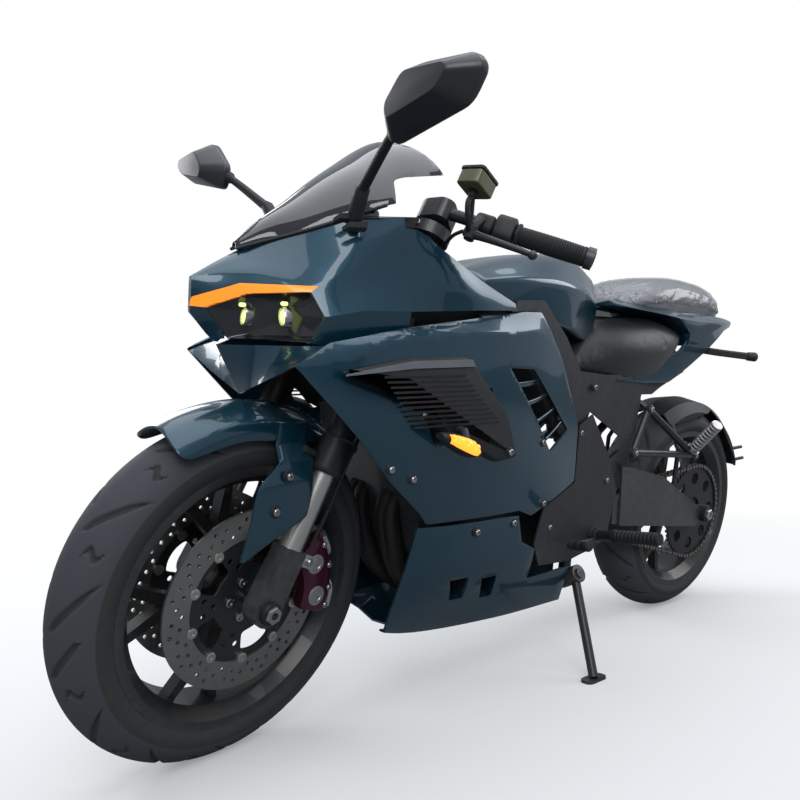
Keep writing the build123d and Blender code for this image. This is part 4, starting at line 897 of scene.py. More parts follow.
cowl = noseHull("cowl")
carve(cowl, noseHull("cowlInside", wall * 1.3))
carve(cowl, windows("lampHole", nose["lamp"]))
carve(cowl, windows("stripHole", nose["strip"]))
carve(cowl, prismObject("beakTrim", nose["trim"], -200, 200))
grid = smoothRows(nose["cheeks"], 6, 4)
cheek = [Vector((p.x, p.y + offset, p.z)) for offset in (0.0, -wall) for row in grid for p in row]
count, wide = len(grid), len(grid[0])
faces = []
for layer in (0, 1):
    base = layer * count * wide
    for i in range(count - 1):
        for k in range(wide - 1):
            low = base + i * wide + k
            face = (low, low + 1, low + wide + 1, low + wide)
            faces.append(face if layer else face[::-1])
border = ([i * wide for i in range(count)] + [(count - 1) * wide + k for k in range(1, wide)]
          + [i * wide + wide - 1 for i in range(count - 2, -1, -1)] + [k for k in range(wide - 2, 0, -1)])
for k, a in enumerate(border):
    b = border[(k + 1) % len(border)]
    faces.append((a, b, count * wide + b, count * wide + a))
cheekLeft = plainObject("cheek", cheek, faces)
cowl = joinObjects([cowl, cheekLeft, mirrorObject(cheekLeft)])
softenEdges(cowl, 1.6, 24, 2)
piece = settle(cowl, "nose_cowl", "chassis", "tealLacquer")
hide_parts("nose_fairing")
print("cowl made")

# ---- side fairings ----
fairing = {
    "rows": [(708, (196, 712), (204, 698), (203, 690), (200, 682)),
             (640, (190, 738), (206, 714), (210, 640), (200, 560)),
             (490, (186, 766), (209, 752), (224, 600), (182, 412)),
             (260, (184, 800), (205, 770), (216, 600), (192, 405)),
             (140, (180, 816), (188, 772), (198, 600), (184, 395)),
             (40, (164, 800), (168, 720), (176, 580), (172, 395)),
             (-60, (150, 740), (150, 640), (152, 560), (152, 395))],
    "outline": [(704, 698), (640, 733), (490, 764), (190, 811), (139, 813), (95, 770), (45, 718), (-45, 577),
                (-50, 455), (60, 422), (120, 402), (165, 419), (412, 421), (431, 442), (512, 508), (580, 579)],
    "gills": [(248, 704), (168, 702), (10, 574), (82, 534)],
    "vent": [(495, 668), (300, 668), (300, 590), (438, 572)],
    "blades": 4,
    "blade": ((-3, 5.5), (-1.2, 4), (-2.2, 1.4), (-6, -0.5), (-20, -5), (-20, -10), (-6, -5.5), (-4.5, -1)),
}


def rowDepth(rows):  # gives the depth of the surface at a point of the side view
    columns = [smoothLine([(row[0], *row[1 + index]) for row in rows], 10) for index in range(len(rows[0]) - 1)]

    def depth(x, z):
        least, most = sorted((columns[0][0].x, columns[0][-1].x))
        x = min(max(x, least), most)
        line = []
        for column in columns:
            for a, b in zip(column, column[1:]):
                if min(a.x, b.x) - 1e-6 <= x <= max(a.x, b.x) + 1e-6:
                    t = 0 if abs(a.x - b.x) < 1e-9 else (x - a.x) / (b.x - a.x)
                    line.append(a.lerp(b, t))
                    break
        fine = smoothLine(line, 8, (1,))
        for a, b in zip(fine, fine[1:]):
            if min(a.z, b.z) - 1e-6 <= z <= max(a.z, b.z) + 1e-6:
                t = 0 if abs(a.z - b.z) < 1e-9 else (z - a.z) / (b.z - a.z)
                return a.lerp(b, t).y
        return fine[0].y if z > fine[0].z else fine[-1].y
    return depth


fairingDepth = rowDepth(fairing["rows"])
creaseLine = [(p.x, p.z) for p in smoothLine([(row[0], 0, row[2][1]) for row in fairing["rows"]], 10)
              if 150 < p.x < 690 and p.z < 700 + (690 - p.x) * 0.225 - 6]
side = panelObject("fairing", fairing["outline"], fairingDepth, 11, [fairing["gills"], fairing["vent"]], [creaseLine])
blades = []
gill = [Vector(p) for p in fairing["gills"]]
for index in range(fairing["blades"]):
    share = (index + 0.9) / (fairing["blades"] + 0.6)
    front, rear = gill[0].lerp(gill[3], share), gill[1].lerp(gill[2], share)
    a = Vector((front.x + 8, 208 - 8 * share, front.y))
    b = Vector((rear.x - 8, 190 - 24 * share, rear.y))
    rings = []
    for step in range(9):
        t = step / 8
        p = a.lerp(b, t) + Vector((0, math.sin(t * math.pi) * 2.0, 0))
        rings.append([p + Vector((0, dy, dz)) for dy, dz in fairing["blade"]])
    blades.append(ringObject("blade", rings))
side = joinObjects([side] + blades)
both = joinObjects([side, mirrorObject(side)])
softenEdges(both, 1.4, 32, 2)
piece = settle(both, "side_fairing_panels", "chassis", "tealLacquer")
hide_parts("side_fairings")
print("side fairings made")

# ---- fuel tank ----
tank = {
    "rows": [(262, (0, 884), (84, 886), (136, 866), (140, 822)),
             (140, (0, 925), (84, 918), (148, 880), (150, 800)),
             (0, (0, 950), (72, 942), (140, 880), (136, 786)),
             (-100, (0, 958), (58, 944), (112, 870), (98, 768)),
             (-192, (0, 922), (42, 914), (70, 840), (62, 756))],
}
body = hullObject("tank", tank["rows"], 8, 6, (2,))
softenEdges(body, 9, 26, 4)
tankPiece = settle(body, "fuel_tank_shell", "chassis", "tealLacquer", 40)
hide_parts("fuel_tank")

# ---- tail ----
tail = {
    "rows": [(-214, (0, 846), (84, 864), (104, 856), (112, 812), (100, 800)),
             (-300, (0, 846), (104, 860), (134, 846), (136, 800), (120, 790)),
             (-468, (0, 850), (112, 858), (138, 836), (134, 776), (112, 770)),
             (-640, (0, 852), (96, 858), (110, 838), (100, 780), (86, 776)),
             (-800, (0, 852), (66, 858), (74, 846), (66, 814), (54, 812)),
             (-944, (0, 850), (20, 856), (24, 850), (20, 838), (12, 836))],
    "seatCut": [(-180, 600), (-180, 852), (-250, 850), (-440, 838), (-520, 802), (-530, 600)],
    "flank": [(-880, 846), (-686, 762), (-446, 673), (-332, 671), (-204, 678), (-293, 691), (-479, 757), (-535, 800),
              (-560, 830), (-640, 846)],
    "flankRows": [(-190, (136, 900), (133, 640)), (-330, (136, 900), (128, 640)), (-470, (137, 900), (120, 640)),
                  (-640, (110, 900), (92, 640)), (-800, (76, 900), (58, 640)), (-944, (30, 900), (20, 640))],
}
body = hullObject("tail", tail["rows"], 6, 3, (1, 2, 3))
carve(body, prismObject("seatCut", tail["seatCut"], -150, 150))
flank = panelObject("flank", tail["flank"], rowDepth(tail["flankRows"]), 14, thickness=3, radius=7)
body = joinObjects([body, flank, mirrorObject(flank)])
softenEdges(body, 2.2, 26, 2)
tailPiece = settle(body, "tail_shell", "chassis", "tealLacquer", 34)
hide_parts("tail_fairing")
print("tank and tail made")

# ---- belly pan ----
belly = {
    "rows": [(446, (170, 412), (156, 330), (134, 208), (0, 190)),
             (400, (182, 414), (170, 320), (122, 192), (0, 172)),
             (160, (188, 408), (182, 310), (138, 178), (0, 158)),
             (-60, (172, 392), (166, 300), (138, 176), (0, 158))],
    "outline": [(420, 412), (165, 411), (146, 352), (100, 330), (100, 262), (-55, 262), (-55, 150), (446, 150),
                (446, 200)],
    "mouth": [(460, -126), (384, -92), (370, -50), (370, 50), (384, 92), (460, 126)],
    "vents": [[(330, 300), (284, 300), (280, 252), (312, 252)], [(246, 290), (204, 290), (198, 242), (230, 242)]],
    "mounts": [(20, 155.5, 245), (160, 174, 305)],
}


def innerBelly(row):
    x, *points = row
    shift = 1 if x == 446 else -1 if x == -60 else 0
    return (x + shift, *[(max(y - wall, 0), z + (30 if index == 0 else wall if index > 1 else 0))
                         for index, (y, z) in enumerate(points)])


body = hullObject("belly", belly["rows"], 6, 4, (2,))
carve(body, hullObject("bellyInside", [innerBelly(row) for row in belly["rows"]], 6, 4, (2,)))
carve(body, prismObject("bellySide", belly["outline"], -300, 300), "INTERSECT")
carve(body, prismObject("bellyMouth", belly["mouth"], 100, 250, "xy"))
for outline in belly["vents"]:
    for low, high in ((100, 300), (-300, -100)):
        carve(body, prismObject("vent", outline, low, high))
things = [body]
for x, y, z in belly["mounts"]:
    for hand in (1, -1):
        things.append(ringObject("mount", [[Vector((x + 8 * math.cos(a), hand * face, z + 8 * math.sin(a)))
                                            for a in turns(12)] for face in (y, 100.5)]))
for outline in belly["vents"]:  # moulded duct inside each vent: a raised back lip and a sloping floor
    for hand in (1, -1):
        mouth = [Vector((x, hand * y, z)) for (x, z), y in zip(outline, (168, 168, 158, 158))]
        back = [Vector((p.x - 6, hand * (abs(p.y) - 24), p.z)) for p in mouth]
        things.append(plainObject("duct", mouth + back, [(1, 2, 6, 5), (2, 3, 7, 6)]))
body = joinObjects(things)
softenEdges(body, 1.4, 30, 2)
piece = settle(body, "belly_shell", "chassis", "tealLacquer", 34)
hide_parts("belly_pan")
print("belly made")

# ---- lamps: clear smoked lens over a dark bowl, paired glowing lozenges, the strip above ----
lamp = {
    "lensWall": 3.0, "stripWall": 9, "middle": (82, 770),
    "bowl": ((0.985, 3.5), (0.93, 9), (0.80, 26), (0.45, 38), (0.05, 40)),
    "spots": [((48, 764), (17, 24), 12), ((96, 768), (19, 26), -10)],
    "smallSpots": [((50, 783), (12, 7)), ((96, 789), (12, 7))],
    # each step of a form is its share of the full size and how deep it lies
    "spot": ((1.0, 24), (1.0, 16), (0.72, 11), (0.3, 9.5), (0.02, 9.2)),
    "rim": ((1.28, 24), (1.28, 13), (1.12, 11), (1.06, 17)),
    "smallSpot": ((1.0, 16), (1.0, 9), (0.5, 7), (0.02, 6.8)),
}
lens = noseHull("lens")
carve(lens, windows("lensWindow", nose["lamp"]), "INTERSECT")
carve(lens, noseHull("lensInside", lamp["lensWall"] * 1.3))
carve(lens, prismObject("lensBack", [(400, 600), (400, 900), (585, 900), (585, 600)], -260, 260))
piece = settle(lens, "lamp_lenses", "chassis", "smokedLens", 30)
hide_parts("headlights")
strip = noseHull("strip")
carve(strip, windows("stripWindow", nose["strip"]), "INTERSECT")
carve(strip, noseHull("stripInside", lamp["stripWall"]))
piece = settle(strip, "lamp_strips", "chassis", "amberStrip", 30)
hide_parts("light_strips")


def noseFront(y, z, inset=0.0):  # where the nose's surface stands ahead of a point of its front view
    hit = noseTree.ray_cast(Vector((900, y, z)), Vector((-1, 0, 0)))
    return hit[0].x - inset if hit[0] else 600.0


probe = noseHull("probe")
edit = bmesh.new()
edit.from_mesh(probe.data)
noseTree = BVHTree.FromBMesh(edit)
edit.free()
bpy.data.objects.remove(probe)


def lozenge(place, size, lean, steps, hand, sides=20, power=1.0):
    (y, z), (wide, tall) = place, size
    rings = []
    for grow, depth in steps:
        ring = []
        for a in turns(sides):
            across, up = (math.copysign(abs(v) ** power, v) for v in (math.cos(a), math.sin(a)))
            dz = tall / 2 * grow * up
            dy = wide / 2 * grow * across + dz * math.tan(math.radians(lean))
            ring.append(Vector((noseFront(y, z) - depth, hand * (y + dy), z + dz)))
        rings.append(ring)
    return rings


bowl, spots = Batch(), Batch()
outline = roundedOutline(nose["lamp"], 5, 3)
for hand in (1, -1):
    rings = []
    for share, depth in lamp["bowl"]:
        ring = [Vector(lamp["middle"]).lerp(Vector(p), share) for p in outline]
        rings.append([Vector((noseFront(p.x, p.y, depth), hand * p.x, p.y)) for p in ring])
    bowl.rings(rings, 0, False)
    for place, size, lean in lamp["spots"]:
        spots.rings(lozenge(place, size, lean, lamp["spot"], hand, power=1.25), 0)
        bowl.rings(lozenge(place, size, lean, lamp["rim"], hand), 1, False)
    for place, size in lamp["smallSpots"]:
        spots.rings(lozenge(place, size, 0, lamp["smallSpot"], hand, 14), 0)
bowl.piece("lamp_bowls", "chassis", ["glossBlack", "machinedSteel"], "black_gloss", 40)
spots.piece("lamp_spots", "chassis", "lampSpot", "smoked_lens", 40)
print("lamps made")

# ---- windscreen: smooth bubble, dark lower edge and gasket ----
screen = {
    "rows": [(712, 886.6, 8, 875.6), (670, 926.6, 34, 892.6), (620, 965.6, 71, 913.6), (560, 1016.6, 113, 941.6),
             (513, 1052.6, 148, 964.6), (446, 1100.6, 158, 982.6), (376, 1126.6, 166, 986.6)],
    "earCut": [(512, 900), (500, 962), (490, 1010), (470, 1018), (384, 1036), (300, 1040), (300, 900)],
    "rear": [(448, 0), (440, 60), (380, 168), (300, 168), (300, -168), (380, -168), (440, -60)],
    "wall": 3,
}


def archRows(rows, drop):
    lines = []
    crowns = smoothLine([(x, half, crown) for x, crown, half, low in rows], 6)
    sides = smoothLine([(x, half, low) for x, crown, half, low in rows], 6)
    for crown, low in zip(crowns, sides):
        half, top, base = crown.y - drop, crown.z - drop, low.z
        rise = top - base
        radius = (half ** 2 + rise ** 2) / (2 * rise)
        centre = top - radius
        span = math.atan2(half, base - centre)
        ring = [Vector((crown.x, radius * math.sin(a), centre + radius * math.cos(a)))
                for a in (span * (k / 14 - 1) for k in range(29))]
        ring += [Vector((crown.x, half, base - 2 * drop - 2)), Vector((crown.x, -half, base - 2 * drop - 2))]
        lines.append(ring)
    return lines


bubble = ringObject("screen", archRows(screen["rows"], 0.0))
innerRows = [list(row) for row in screen["rows"]]
innerRows[0][0] += 1
innerRows[-1][0] -= 1
carve(bubble, ringObject("screenInside", archRows(innerRows, screen["wall"])))
carve(bubble, prismObject("earCut", roundedOutline(screen["earCut"], 8), -200, 200))
carve(bubble, prismObject("rearCut", screen["rear"], 900, 1300, "xy"))
softenEdges(bubble, 0.9, 35, 2)
piece = settle(bubble, "windscreen_bubble", "chassis", "smokedScreen", 35)
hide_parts("windscreen")
gasket = Batch()
edgeLine = smoothLine([(x, half, low) for x, crown, half, low in screen["rows"][:5]], 6)
for hand in (1, -1):
    gasket.tube([Vector((p.x, hand * (p.y + 0.6), p.z - 1.0)) for p in edgeLine], 3.0, 8)
gasket.piece("screen_gasket", "chassis", "mouldedBlack", "black_plastic", 40)
print("screen made")

# ---- side scoops: bright upper lip, fine louvres, smooth lower blade with its bolt ----
scoop = {
    "outline": [(638, 690), (578, 680), (505, 676), (420, 590), (284, 530), (228, 536), (262, 620), (372, 722),
                (500, 716)],
    "steps": ((218.2, 0.0), (229.2, 5.0), (230.9, 6.2), (231.4, 8.2)),  # depth, and how far the outline is drawn in
    "face": 231.4, "louvres": 11, "bolt": (256, 550),
    "lip": [(500, 712), (372, 718), (362, 706), (500, 700), (632, 686), (630, 689)],
}
outline = [Vector(p) for p in roundedOutline(scoop["outline"], 14, 4)]
area = sum(a.x * b.y - b.x * a.y for a, b in zip(outline, outline[1:] + outline[:1]))
outward = []
for before, after in zip(outline[-1:] + outline[:-1], outline[1:] + outline[:1]):
    ahead = (after - before).normalized()
    outward.append(Vector((ahead.y, -ahead.x)) * math.copysign(1, area))
shell = []
for hand in (1, -1):
    rings = []
    for y, inset in scoop["steps"]:
        inner = [p - out * inset for p, out in zip(outline, outward)]
        rings.append([Vector((p.x, hand * y, p.y)) for p in inner])
    shell.append(ringObject("scoop", rings))
piece = settle(joinObjects(shell), "scoop_blades", "chassis", "mouldedBlack", 25)
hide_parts("side_scoops")
dress = Batch()
for hand in (1, -1):
    face = scoop["face"]
    for k in range(scoop["louvres"]):  # fine ribs across the upper half of the blade
        z = 692 - k * 8.2
        x0, x1 = 384 - k * 9.5, 560 - k * 7.0
        foot, top = hand * (face - 0.6), hand * (face + 2.6)
        edge = hand * (face + 0.9)
        dress.block([(x0, foot, z), (x1, foot, z - 5), (x1, foot, z - 8.6), (x0, foot, z - 4),
                     (x0 + 2, top, z), (x1 - 2, top, z - 5), (x1 - 2, edge, z - 8.6), (x0 + 2, edge, z - 4)], 0)
    dress.rings([[Vector((x, hand * y, z)) for x, z in scoop["lip"]] for y in (face - 0.8, face + 2.4)], 1)
    dress.bolt((scoop["bolt"][0], hand * (face - 0.2), scoop["bolt"][1]), (0, hand, 0), 6.5, 4, 2, 10, 0)
dress.piece("scoop_louvres", "chassis", ["mouldedBlack", "lipGrey", "boltSteel"], "black_plastic", 35)
print("scoops made")

# ---- turn lamps: housing, lit lens with its row of bars ----
turnLamp = {
    "front": [(462, 12, 10), (430, 30, 22), (400, 34, 26), (372, 12, 10)], "y": 262, "z": 572, "slope": 0.35,
    "root": [(392, 232.1, 596), (392, 246, 596), (400, 262, 580)],
    "bars": [380 + 74 * share for share in (0.15, 0.35, 0.55, 0.75, 0.88)],
    "lens": [(-0.62 + 1.5 * k / 8, 1.035) for k in range(9)] + [(0.88 - 1.5 * k / 8, 0.94) for k in range(9)],
    "arm": [(724, 59.2, 766), (742, 100, 762), (772, 172, 757)],
    "armForm": ((16, 1.5), (12, 5), (-12, 5), (-16, 1.5), (-16, -11), (-12, -14), (12, -14), (16, -11)),
}


def lampHeight(x):
    return turnLamp["z"] + (x - 400) * turnLamp["slope"]


housing, lit = Batch(), Batch()
rows = smoothLine([(x, depth, height / 2) for x, height, depth in turnLamp["front"]], 5)
for hand in (1, -1):
    housing.tube([(x, hand * y, z) for x, y, z in turnLamp["root"]], [8, 8, 7.5], 12)
    housing.rings([[Vector((p.x, hand * turnLamp["y"] + p.y * math.cos(a), lampHeight(p.x) + p.z * math.sin(a)))
                    for a in turns(20)] for p in rows])
    for x in turnLamp["bars"]:  # bright bars along the outer lower face
        near = min(rows, key=lambda p: abs(p.x - x))
        for a in (-0.10, 0.42):
            place = Vector((x, hand * (turnLamp["y"] + (near.y + 0.3) * math.cos(a)),
                            lampHeight(x) + (near.z + 0.3) * math.sin(a)))
            lit.turned(place - Vector((0, hand * 2.0, 0)), (0, hand, 0.3),
                       [(0, 4.6), (2.4, 4.6), (3.4, 3.0), (3.6, 0.4)], 12)
    lit.rings([[Vector((p.x, hand * (turnLamp["y"] + p.y * grow * math.cos(a)),
                        lampHeight(p.x) + p.z * grow * math.sin(a))) for a, grow in turnLamp["lens"]]
               for p in rows if 384 < p.x < 455])
    housing.rings([[Vector((-x + dx, hand * y, z + dz)) for dx, dz in turnLamp["armForm"]]
                   for x, y, z in turnLamp["arm"]])
    housing.turned((-772, hand * 168, 752.5), (-0.2, hand, -0.02),
                   [(-4, 9), (-3, 12), (16, 13), (21, 11), (24, 6)], 18)
piece = housing.piece("turn_lamp_housings", "chassis", "mouldedBlack", "black_plastic", 35)
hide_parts("indicators")
lit.piece("turn_lamp_lenses", "chassis", "amberLit", "amber_lens", 35)
print("turn lamps made")

# ---- front fender: crowned shell and the two plates ahead of the fork legs ----
fender = {
    "section": [(270, 66), (290, 64.5), (302, 58), (313, 42), (321, 24), (325, 0)], "wall": 4,
    "window": [(155, 250), (140, 420), (-215, 420), (-235, 255), (-60, 268), (40, 278)],
    "plates": [(100, 66, 58, 124), (128, 60, 0, 123.4), (155, 52, -59, 122), (212, 38, -71, 116),
               (245, -8, -76, 104), (268, -20, -84, 74), (300, -30, -90, 69)],
    "bolts": [(-16, 226, 117.6), (8, 172, 122.1)],
    "across": [(k / 8, 0.6) for k in range(9)] + [(k / 8, 4.6) for k in range(8, -1, -1)],
}
axle = Vector(stance["frontAxle"]) * 1000


def fenderRings():
    section = fender["section"]
    line = smoothLine([(r, y, 0) for r, y in section] + [(r, -y, 0) for r, y in reversed(section[:-1])], 4)
    rings = []
    for step in range(61):
        a = math.radians(25 + 135 * step / 60)
        c, s = math.cos(a), math.sin(a)
        ring = [(p.x + fender["wall"] - 0.2, p.y * 1.055) for p in line]
        ring += [(p.x + 0.2, p.y * 0.998) for p in reversed(line)]
        rings.append([Vector((axle.x + r * c, y, axle.z + r * s)) for r, y in ring])
    return rings


shell = ringObject("fender", fenderRings())
outline = roundedOutline([(axle.x + x, axle.z + z) for x, z in fender["window"]], 34, 6)
carve(shell, prismObject("fenderWindow", outline, -200, 200), "INTERSECT")
softenEdges(shell, 1.3, 40, 2)
plates = []
rows = smoothLine([(front, z, rear) for z, front, rear, y in fender["plates"]], 5, (1,), 0.55)
depths = smoothLine([(y, z, 0) for z, front, rear, y in fender["plates"]], 5, (1, 4, 5), 0.55)
for hand in (1, -1):
    rings = [[Vector((axle.x + p.x + (p.z - p.x) * t, hand * (d.x + 2.2 * math.sin(math.pi * t) - back),
                      axle.z + p.y)) for t, back in fender["across"]] for p, d in zip(rows, depths)]
    plates.append(softenEdges(ringObject("plate", rings), 1.3, 40, 2))
piece = settle(joinObjects([shell] + plates), "fender_shell", "steering", "tealLacquer", 30)
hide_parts("front_fender")
dress = Batch()
for hand in (1, -1):
    for x, z, y in fender["bolts"]:
        dress.bolt((axle.x + x, hand * y, axle.z + z), (0, hand, 0.02), 6.5, 4, 0, 10.5, 1)
    dress.tube([steerPoint(ahead, hand * 92, 264) for ahead in (65.4, 89)], 6, 12, 1)
dress.piece("fender_bolts", "steering", ["boltSteel", "mouldedBlack"], "steel", 35)
print("fender made")

# ---- seats: a padded saddle of black vinyl and a wrapped pad behind it ----
saddle = {
    "rows": [(-76, (0, 742), (70, 738), (112, 716), (108, 694)),
             (-150, (0, 776), (84, 776), (124, 748), (118, 689)),
             (-220, (0, 804), (94, 806), (140, 768), (132, 684)),
             (-320, (0, 820), (98, 822), (146, 778), (134, 682)),
             (-420, (0, 828), (92, 826), (138, 788), (126, 706)),
             (-508, (0, 828), (72, 818), (116, 796), (106, 758))],
    "cap": 0.006, "shrink": 3.0,
}
pillion = {
    "rows": [(-300, (0, 878), (74, 874), (102, 866), (96, 854.3)),
             (-360, (0, 916), (78, 912), (120, 884), (112, 852.3)),
             (-460, (0, 940), (74, 936), (122, 898), (112, 852.4)),
             (-600, (0, 948), (66, 942), (110, 902), (100, 854.4)),
             (-720, (0, 934), (54, 928), (88, 894), (80, 856.2)),
             (-800, (0, 892), (32, 888), (54, 878), (48, 857.2))],
    "cap": 0.008, "shrink": 3.5,
}
padding = {
    "voxel": 0.006, "relax": 0.6, "passes": 6, "frames": 20,
    "cloth": {"quality": 3, "mass": 0.25, "tension_stiffness": 12, "compression_stiffness": 12,
              "bending_stiffness": 1.5, "use_pressure": True, "uniform_pressure_force": 4.0,
              "vertex_group_mass": "held"},
}


def padBody(name, values):
    rows = [(x, *[(max(y - values["shrink"], 0) if y else 0, z - (values["shrink"] if i < 3 else 0))
                  for i, (y, z) in enumerate(points)]) for x, *points in values["rows"]]
    rows[0] = (rows[0][0] - values["shrink"], *rows[0][1:])
    rows[-1] = (rows[-1][0] + values["shrink"], *rows[-1][1:])
    return hullObject(name, rows, 8, 6)


def puff(thing, cap):
    remesh = thing.modifiers.new("evenSkin", "REMESH")
    remesh.mode = "VOXEL"
    remesh.voxel_size = padding["voxel"]
    applyModifiers(thing)
    smooth = thing.modifiers.new("relax", "SMOOTH")
    smooth.factor = padding["relax"]
    smooth.iterations = padding["passes"]
    applyModifiers(thing)
    rest = [vertex.co.copy() for vertex in thing.data.vertices]
    held = thing.vertex_groups.new(name="held")  # the underside stays on its seat
    held.add([i for i, vertex in enumerate(thing.data.vertices) if vertex.normal.z < -0.55], 1.0, "REPLACE")
    cloth = thing.modifiers.new("pad", "CLOTH")
    for setting, value in padding["cloth"].items():
        setattr(cloth.settings, setting, value)
    cloth.settings.effector_weights.gravity = 0
    cloth.point_cache.frame_start = 1
    cloth.point_cache.frame_end = padding["frames"]
    for frameNumber in range(1, padding["frames"] + 1):
        scene.frame_set(frameNumber)
    graph = bpy.context.evaluated_depsgraph_get()
    moved = [v.co.copy() for v in thing.evaluated_get(graph).data.vertices]
    thing.modifiers.clear()
    scene.frame_set(1)
    for vertex, start, end in zip(thing.data.vertices, rest, moved):
        shift = end - start
        if shift.length > cap:
            shift *= cap / shift.length
        vertex.co = start + shift
    thing.data.update()


def seatPiece(name, values):
    thing = padBody(name, values)
    thing.data.transform(placing["chassis"] @ Matrix.Scale(0.001, 4))
    puff(thing, values["cap"])
    return thing


def refine(thing):
    fine = thing.modifiers.new("fine", "SUBSURF")
    fine.levels = fine.render_levels = 1
    return applyModifiers(thing)


seat = refine(seatPiece("saddle", saddle))
finishPiece(seat, "chassis", "seatVinyl", 60)
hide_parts("rider_seat")
pad = seatPiece("pillion_pad", pillion)
wrap = pad.copy()
wrap.data = pad.data.copy()
wrap.name = wrap.data.name = "pillion_wrap"
scene.collection.objects.link(wrap)
refine(pad)
refine(wrap)
finishPiece(pad, "chassis", "seatVinyl", 60)
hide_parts("pillion_seat")
upright = placing["chassis"].inverted()
wrinkle = {"lift": 3.0, "depth": 6.4, "folds": 15, "fineFolds": 31, "middle": (-552, 880), "half": 260, "top": 940}
for vertex in wrap.data.vertices:
    p = (upright @ vertex.co) * 1000
    along = (p.x - wrinkle["middle"][0]) / wrinkle["half"]
    fromTop = (wrinkle["top"] - p.z) / 80
    endness = min(1.0, abs(along) ** 2.0)
    around = math.atan2(p.z - wrinkle["middle"][1], p.y)
    folds = math.sin(around * wrinkle["folds"] + along * 7 + 2.2 * math.sin(along * 5.3 + p.y * 0.03))
    fineFolds = math.sin(around * wrinkle["fineFolds"] + along * 23 + math.sin(p.x * 0.045) * 3) * 0.45
    diagonal = math.sin(p.x * 0.085 + p.z * 0.16 + 1.8 * math.sin(p.y * 0.028)) * 0.8
    amount = wrinkle["depth"] * (0.10 + 0.55 * min(1.0, max(0.0, fromTop)) + 0.5 * endness)
    ridge = abs(folds) ** 0.6 * 1.1 + fineFolds * 0.7 + diagonal * 0.6
    shift = 0.6 if vertex.normal.z < -0.4 else wrinkle["lift"] + amount * ridge * 0.5
    vertex.co = vertex.co + vertex.normal * max(shift, 0.5) / 1000
wrap.data.update()
finishPiece(wrap, "chassis", "clearWrap", 180)
print("seats padded")

# ---- mirrors: rounded faceted heads, silvered glass, tapered stalks, base plates ----
mirror = {
    "rear": [(262, 1062), (330, 1118), (440, 1106), (455, 1086), (430, 1048), (275, 1018)],
    "front": [(300, 1060), (338, 1098), (424, 1090), (430, 1078), (410, 1058), (306, 1038)],
    "stalk": [(572, 158, 978), (580, 190, 997), (594, 245, 1029), (604, 284, 1050)],
    "foot": [(561.1, 123.2, 926.6), (566, 141, 958), (571, 158, 979), (573, 164, 986)],
    "tab": [(-26, 7, -9), (14, -1, -12), (10, 12, -4), (-24, 16, 1), (-26, 7, -15), (14, -1, -18), (10, 12, -12),
            (-24, 16, -9)],
}
heads = []
dress = Batch()
for hand in (1, -1):
    rings = []
    rear = [Vector(p) for p in roundedOutline(mirror["rear"], 17, 4)]
    front = [Vector(p) for p in roundedOutline(mirror["front"], 12, 4)]
    middle = Vector((366, 1068))
    between = [a.lerp(b, 0.28) for a, b in zip(rear, front)]
    for x, share, source in ((598.4, 0.955, rear), (599.5, 0.985, rear), (602, 1.0, rear), (612, 1.0, rear),
                             (622, 1.0, between), (646, 1.0, front), (649.6, 0.93, front)):
        ring = [middle.lerp(p, share) for p in source]
        rings.append([Vector((x, hand * p.x, p.y)) for p in ring])
    heads.append(softenEdges(ringObject("mirrorHead", rings), 3.0, 28, 3))
    glass = [middle.lerp(p, 0.90) for p in rear]
    dress.rings([[Vector((x, hand * p.x, p.y)) for p in glass] for x in (598.6, 598.1)], 1)
    path = smoothLine([(x, hand * y, z) for x, y, z in mirror["stalk"]], 5)
    dress.tube(path, [9.5 - 2.6 * k / len(path) + (4.5 if k > len(path) - 4 else 0) for k in range(len(path))], 14)
    dress.tube([(x, hand * y, z) for x, y, z in mirror["foot"]], [13, 13, 12, 7], 14)
    for x, y, z in ((583, 118, 944), (574, 132, 930)):
        dress.block([(x + dx, hand * (y + dy), z + dz) for dx, dy, dz in mirror["tab"]], 0)
piece = settle(joinObjects(heads), "mirror_heads", "chassis", "mirrorShell", 24)
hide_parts("mirrors")
dress.piece("mirror_stalks", "chassis", ["mouldedBlack", "silveredGlass"], "black_gloss", 35)
print("mirrors made")

# ---- front calipers: wine halves each side of the disc under a silver bridge, with bolts ----
caliper = {"y": 58, "start": 141, "end": 199, "steps": 14,
           "half": [(100, 9.5), (100, 30), (106, 34.5), (150, 34.5), (160, 30), (166, 22), (166, 9.5)],
           "bridge": [(161, -27), (161, 27), (167, 29), (175, 20), (178, 0), (175, -20), (167, -29)]}
forkGear = Batch()


def besideAxle(radius, angle, y):  # a distance from the front axle, an angle in degrees and a depth
    a = math.radians(angle)
    return axle.x + radius * math.cos(a), y, axle.z + radius * math.sin(a)


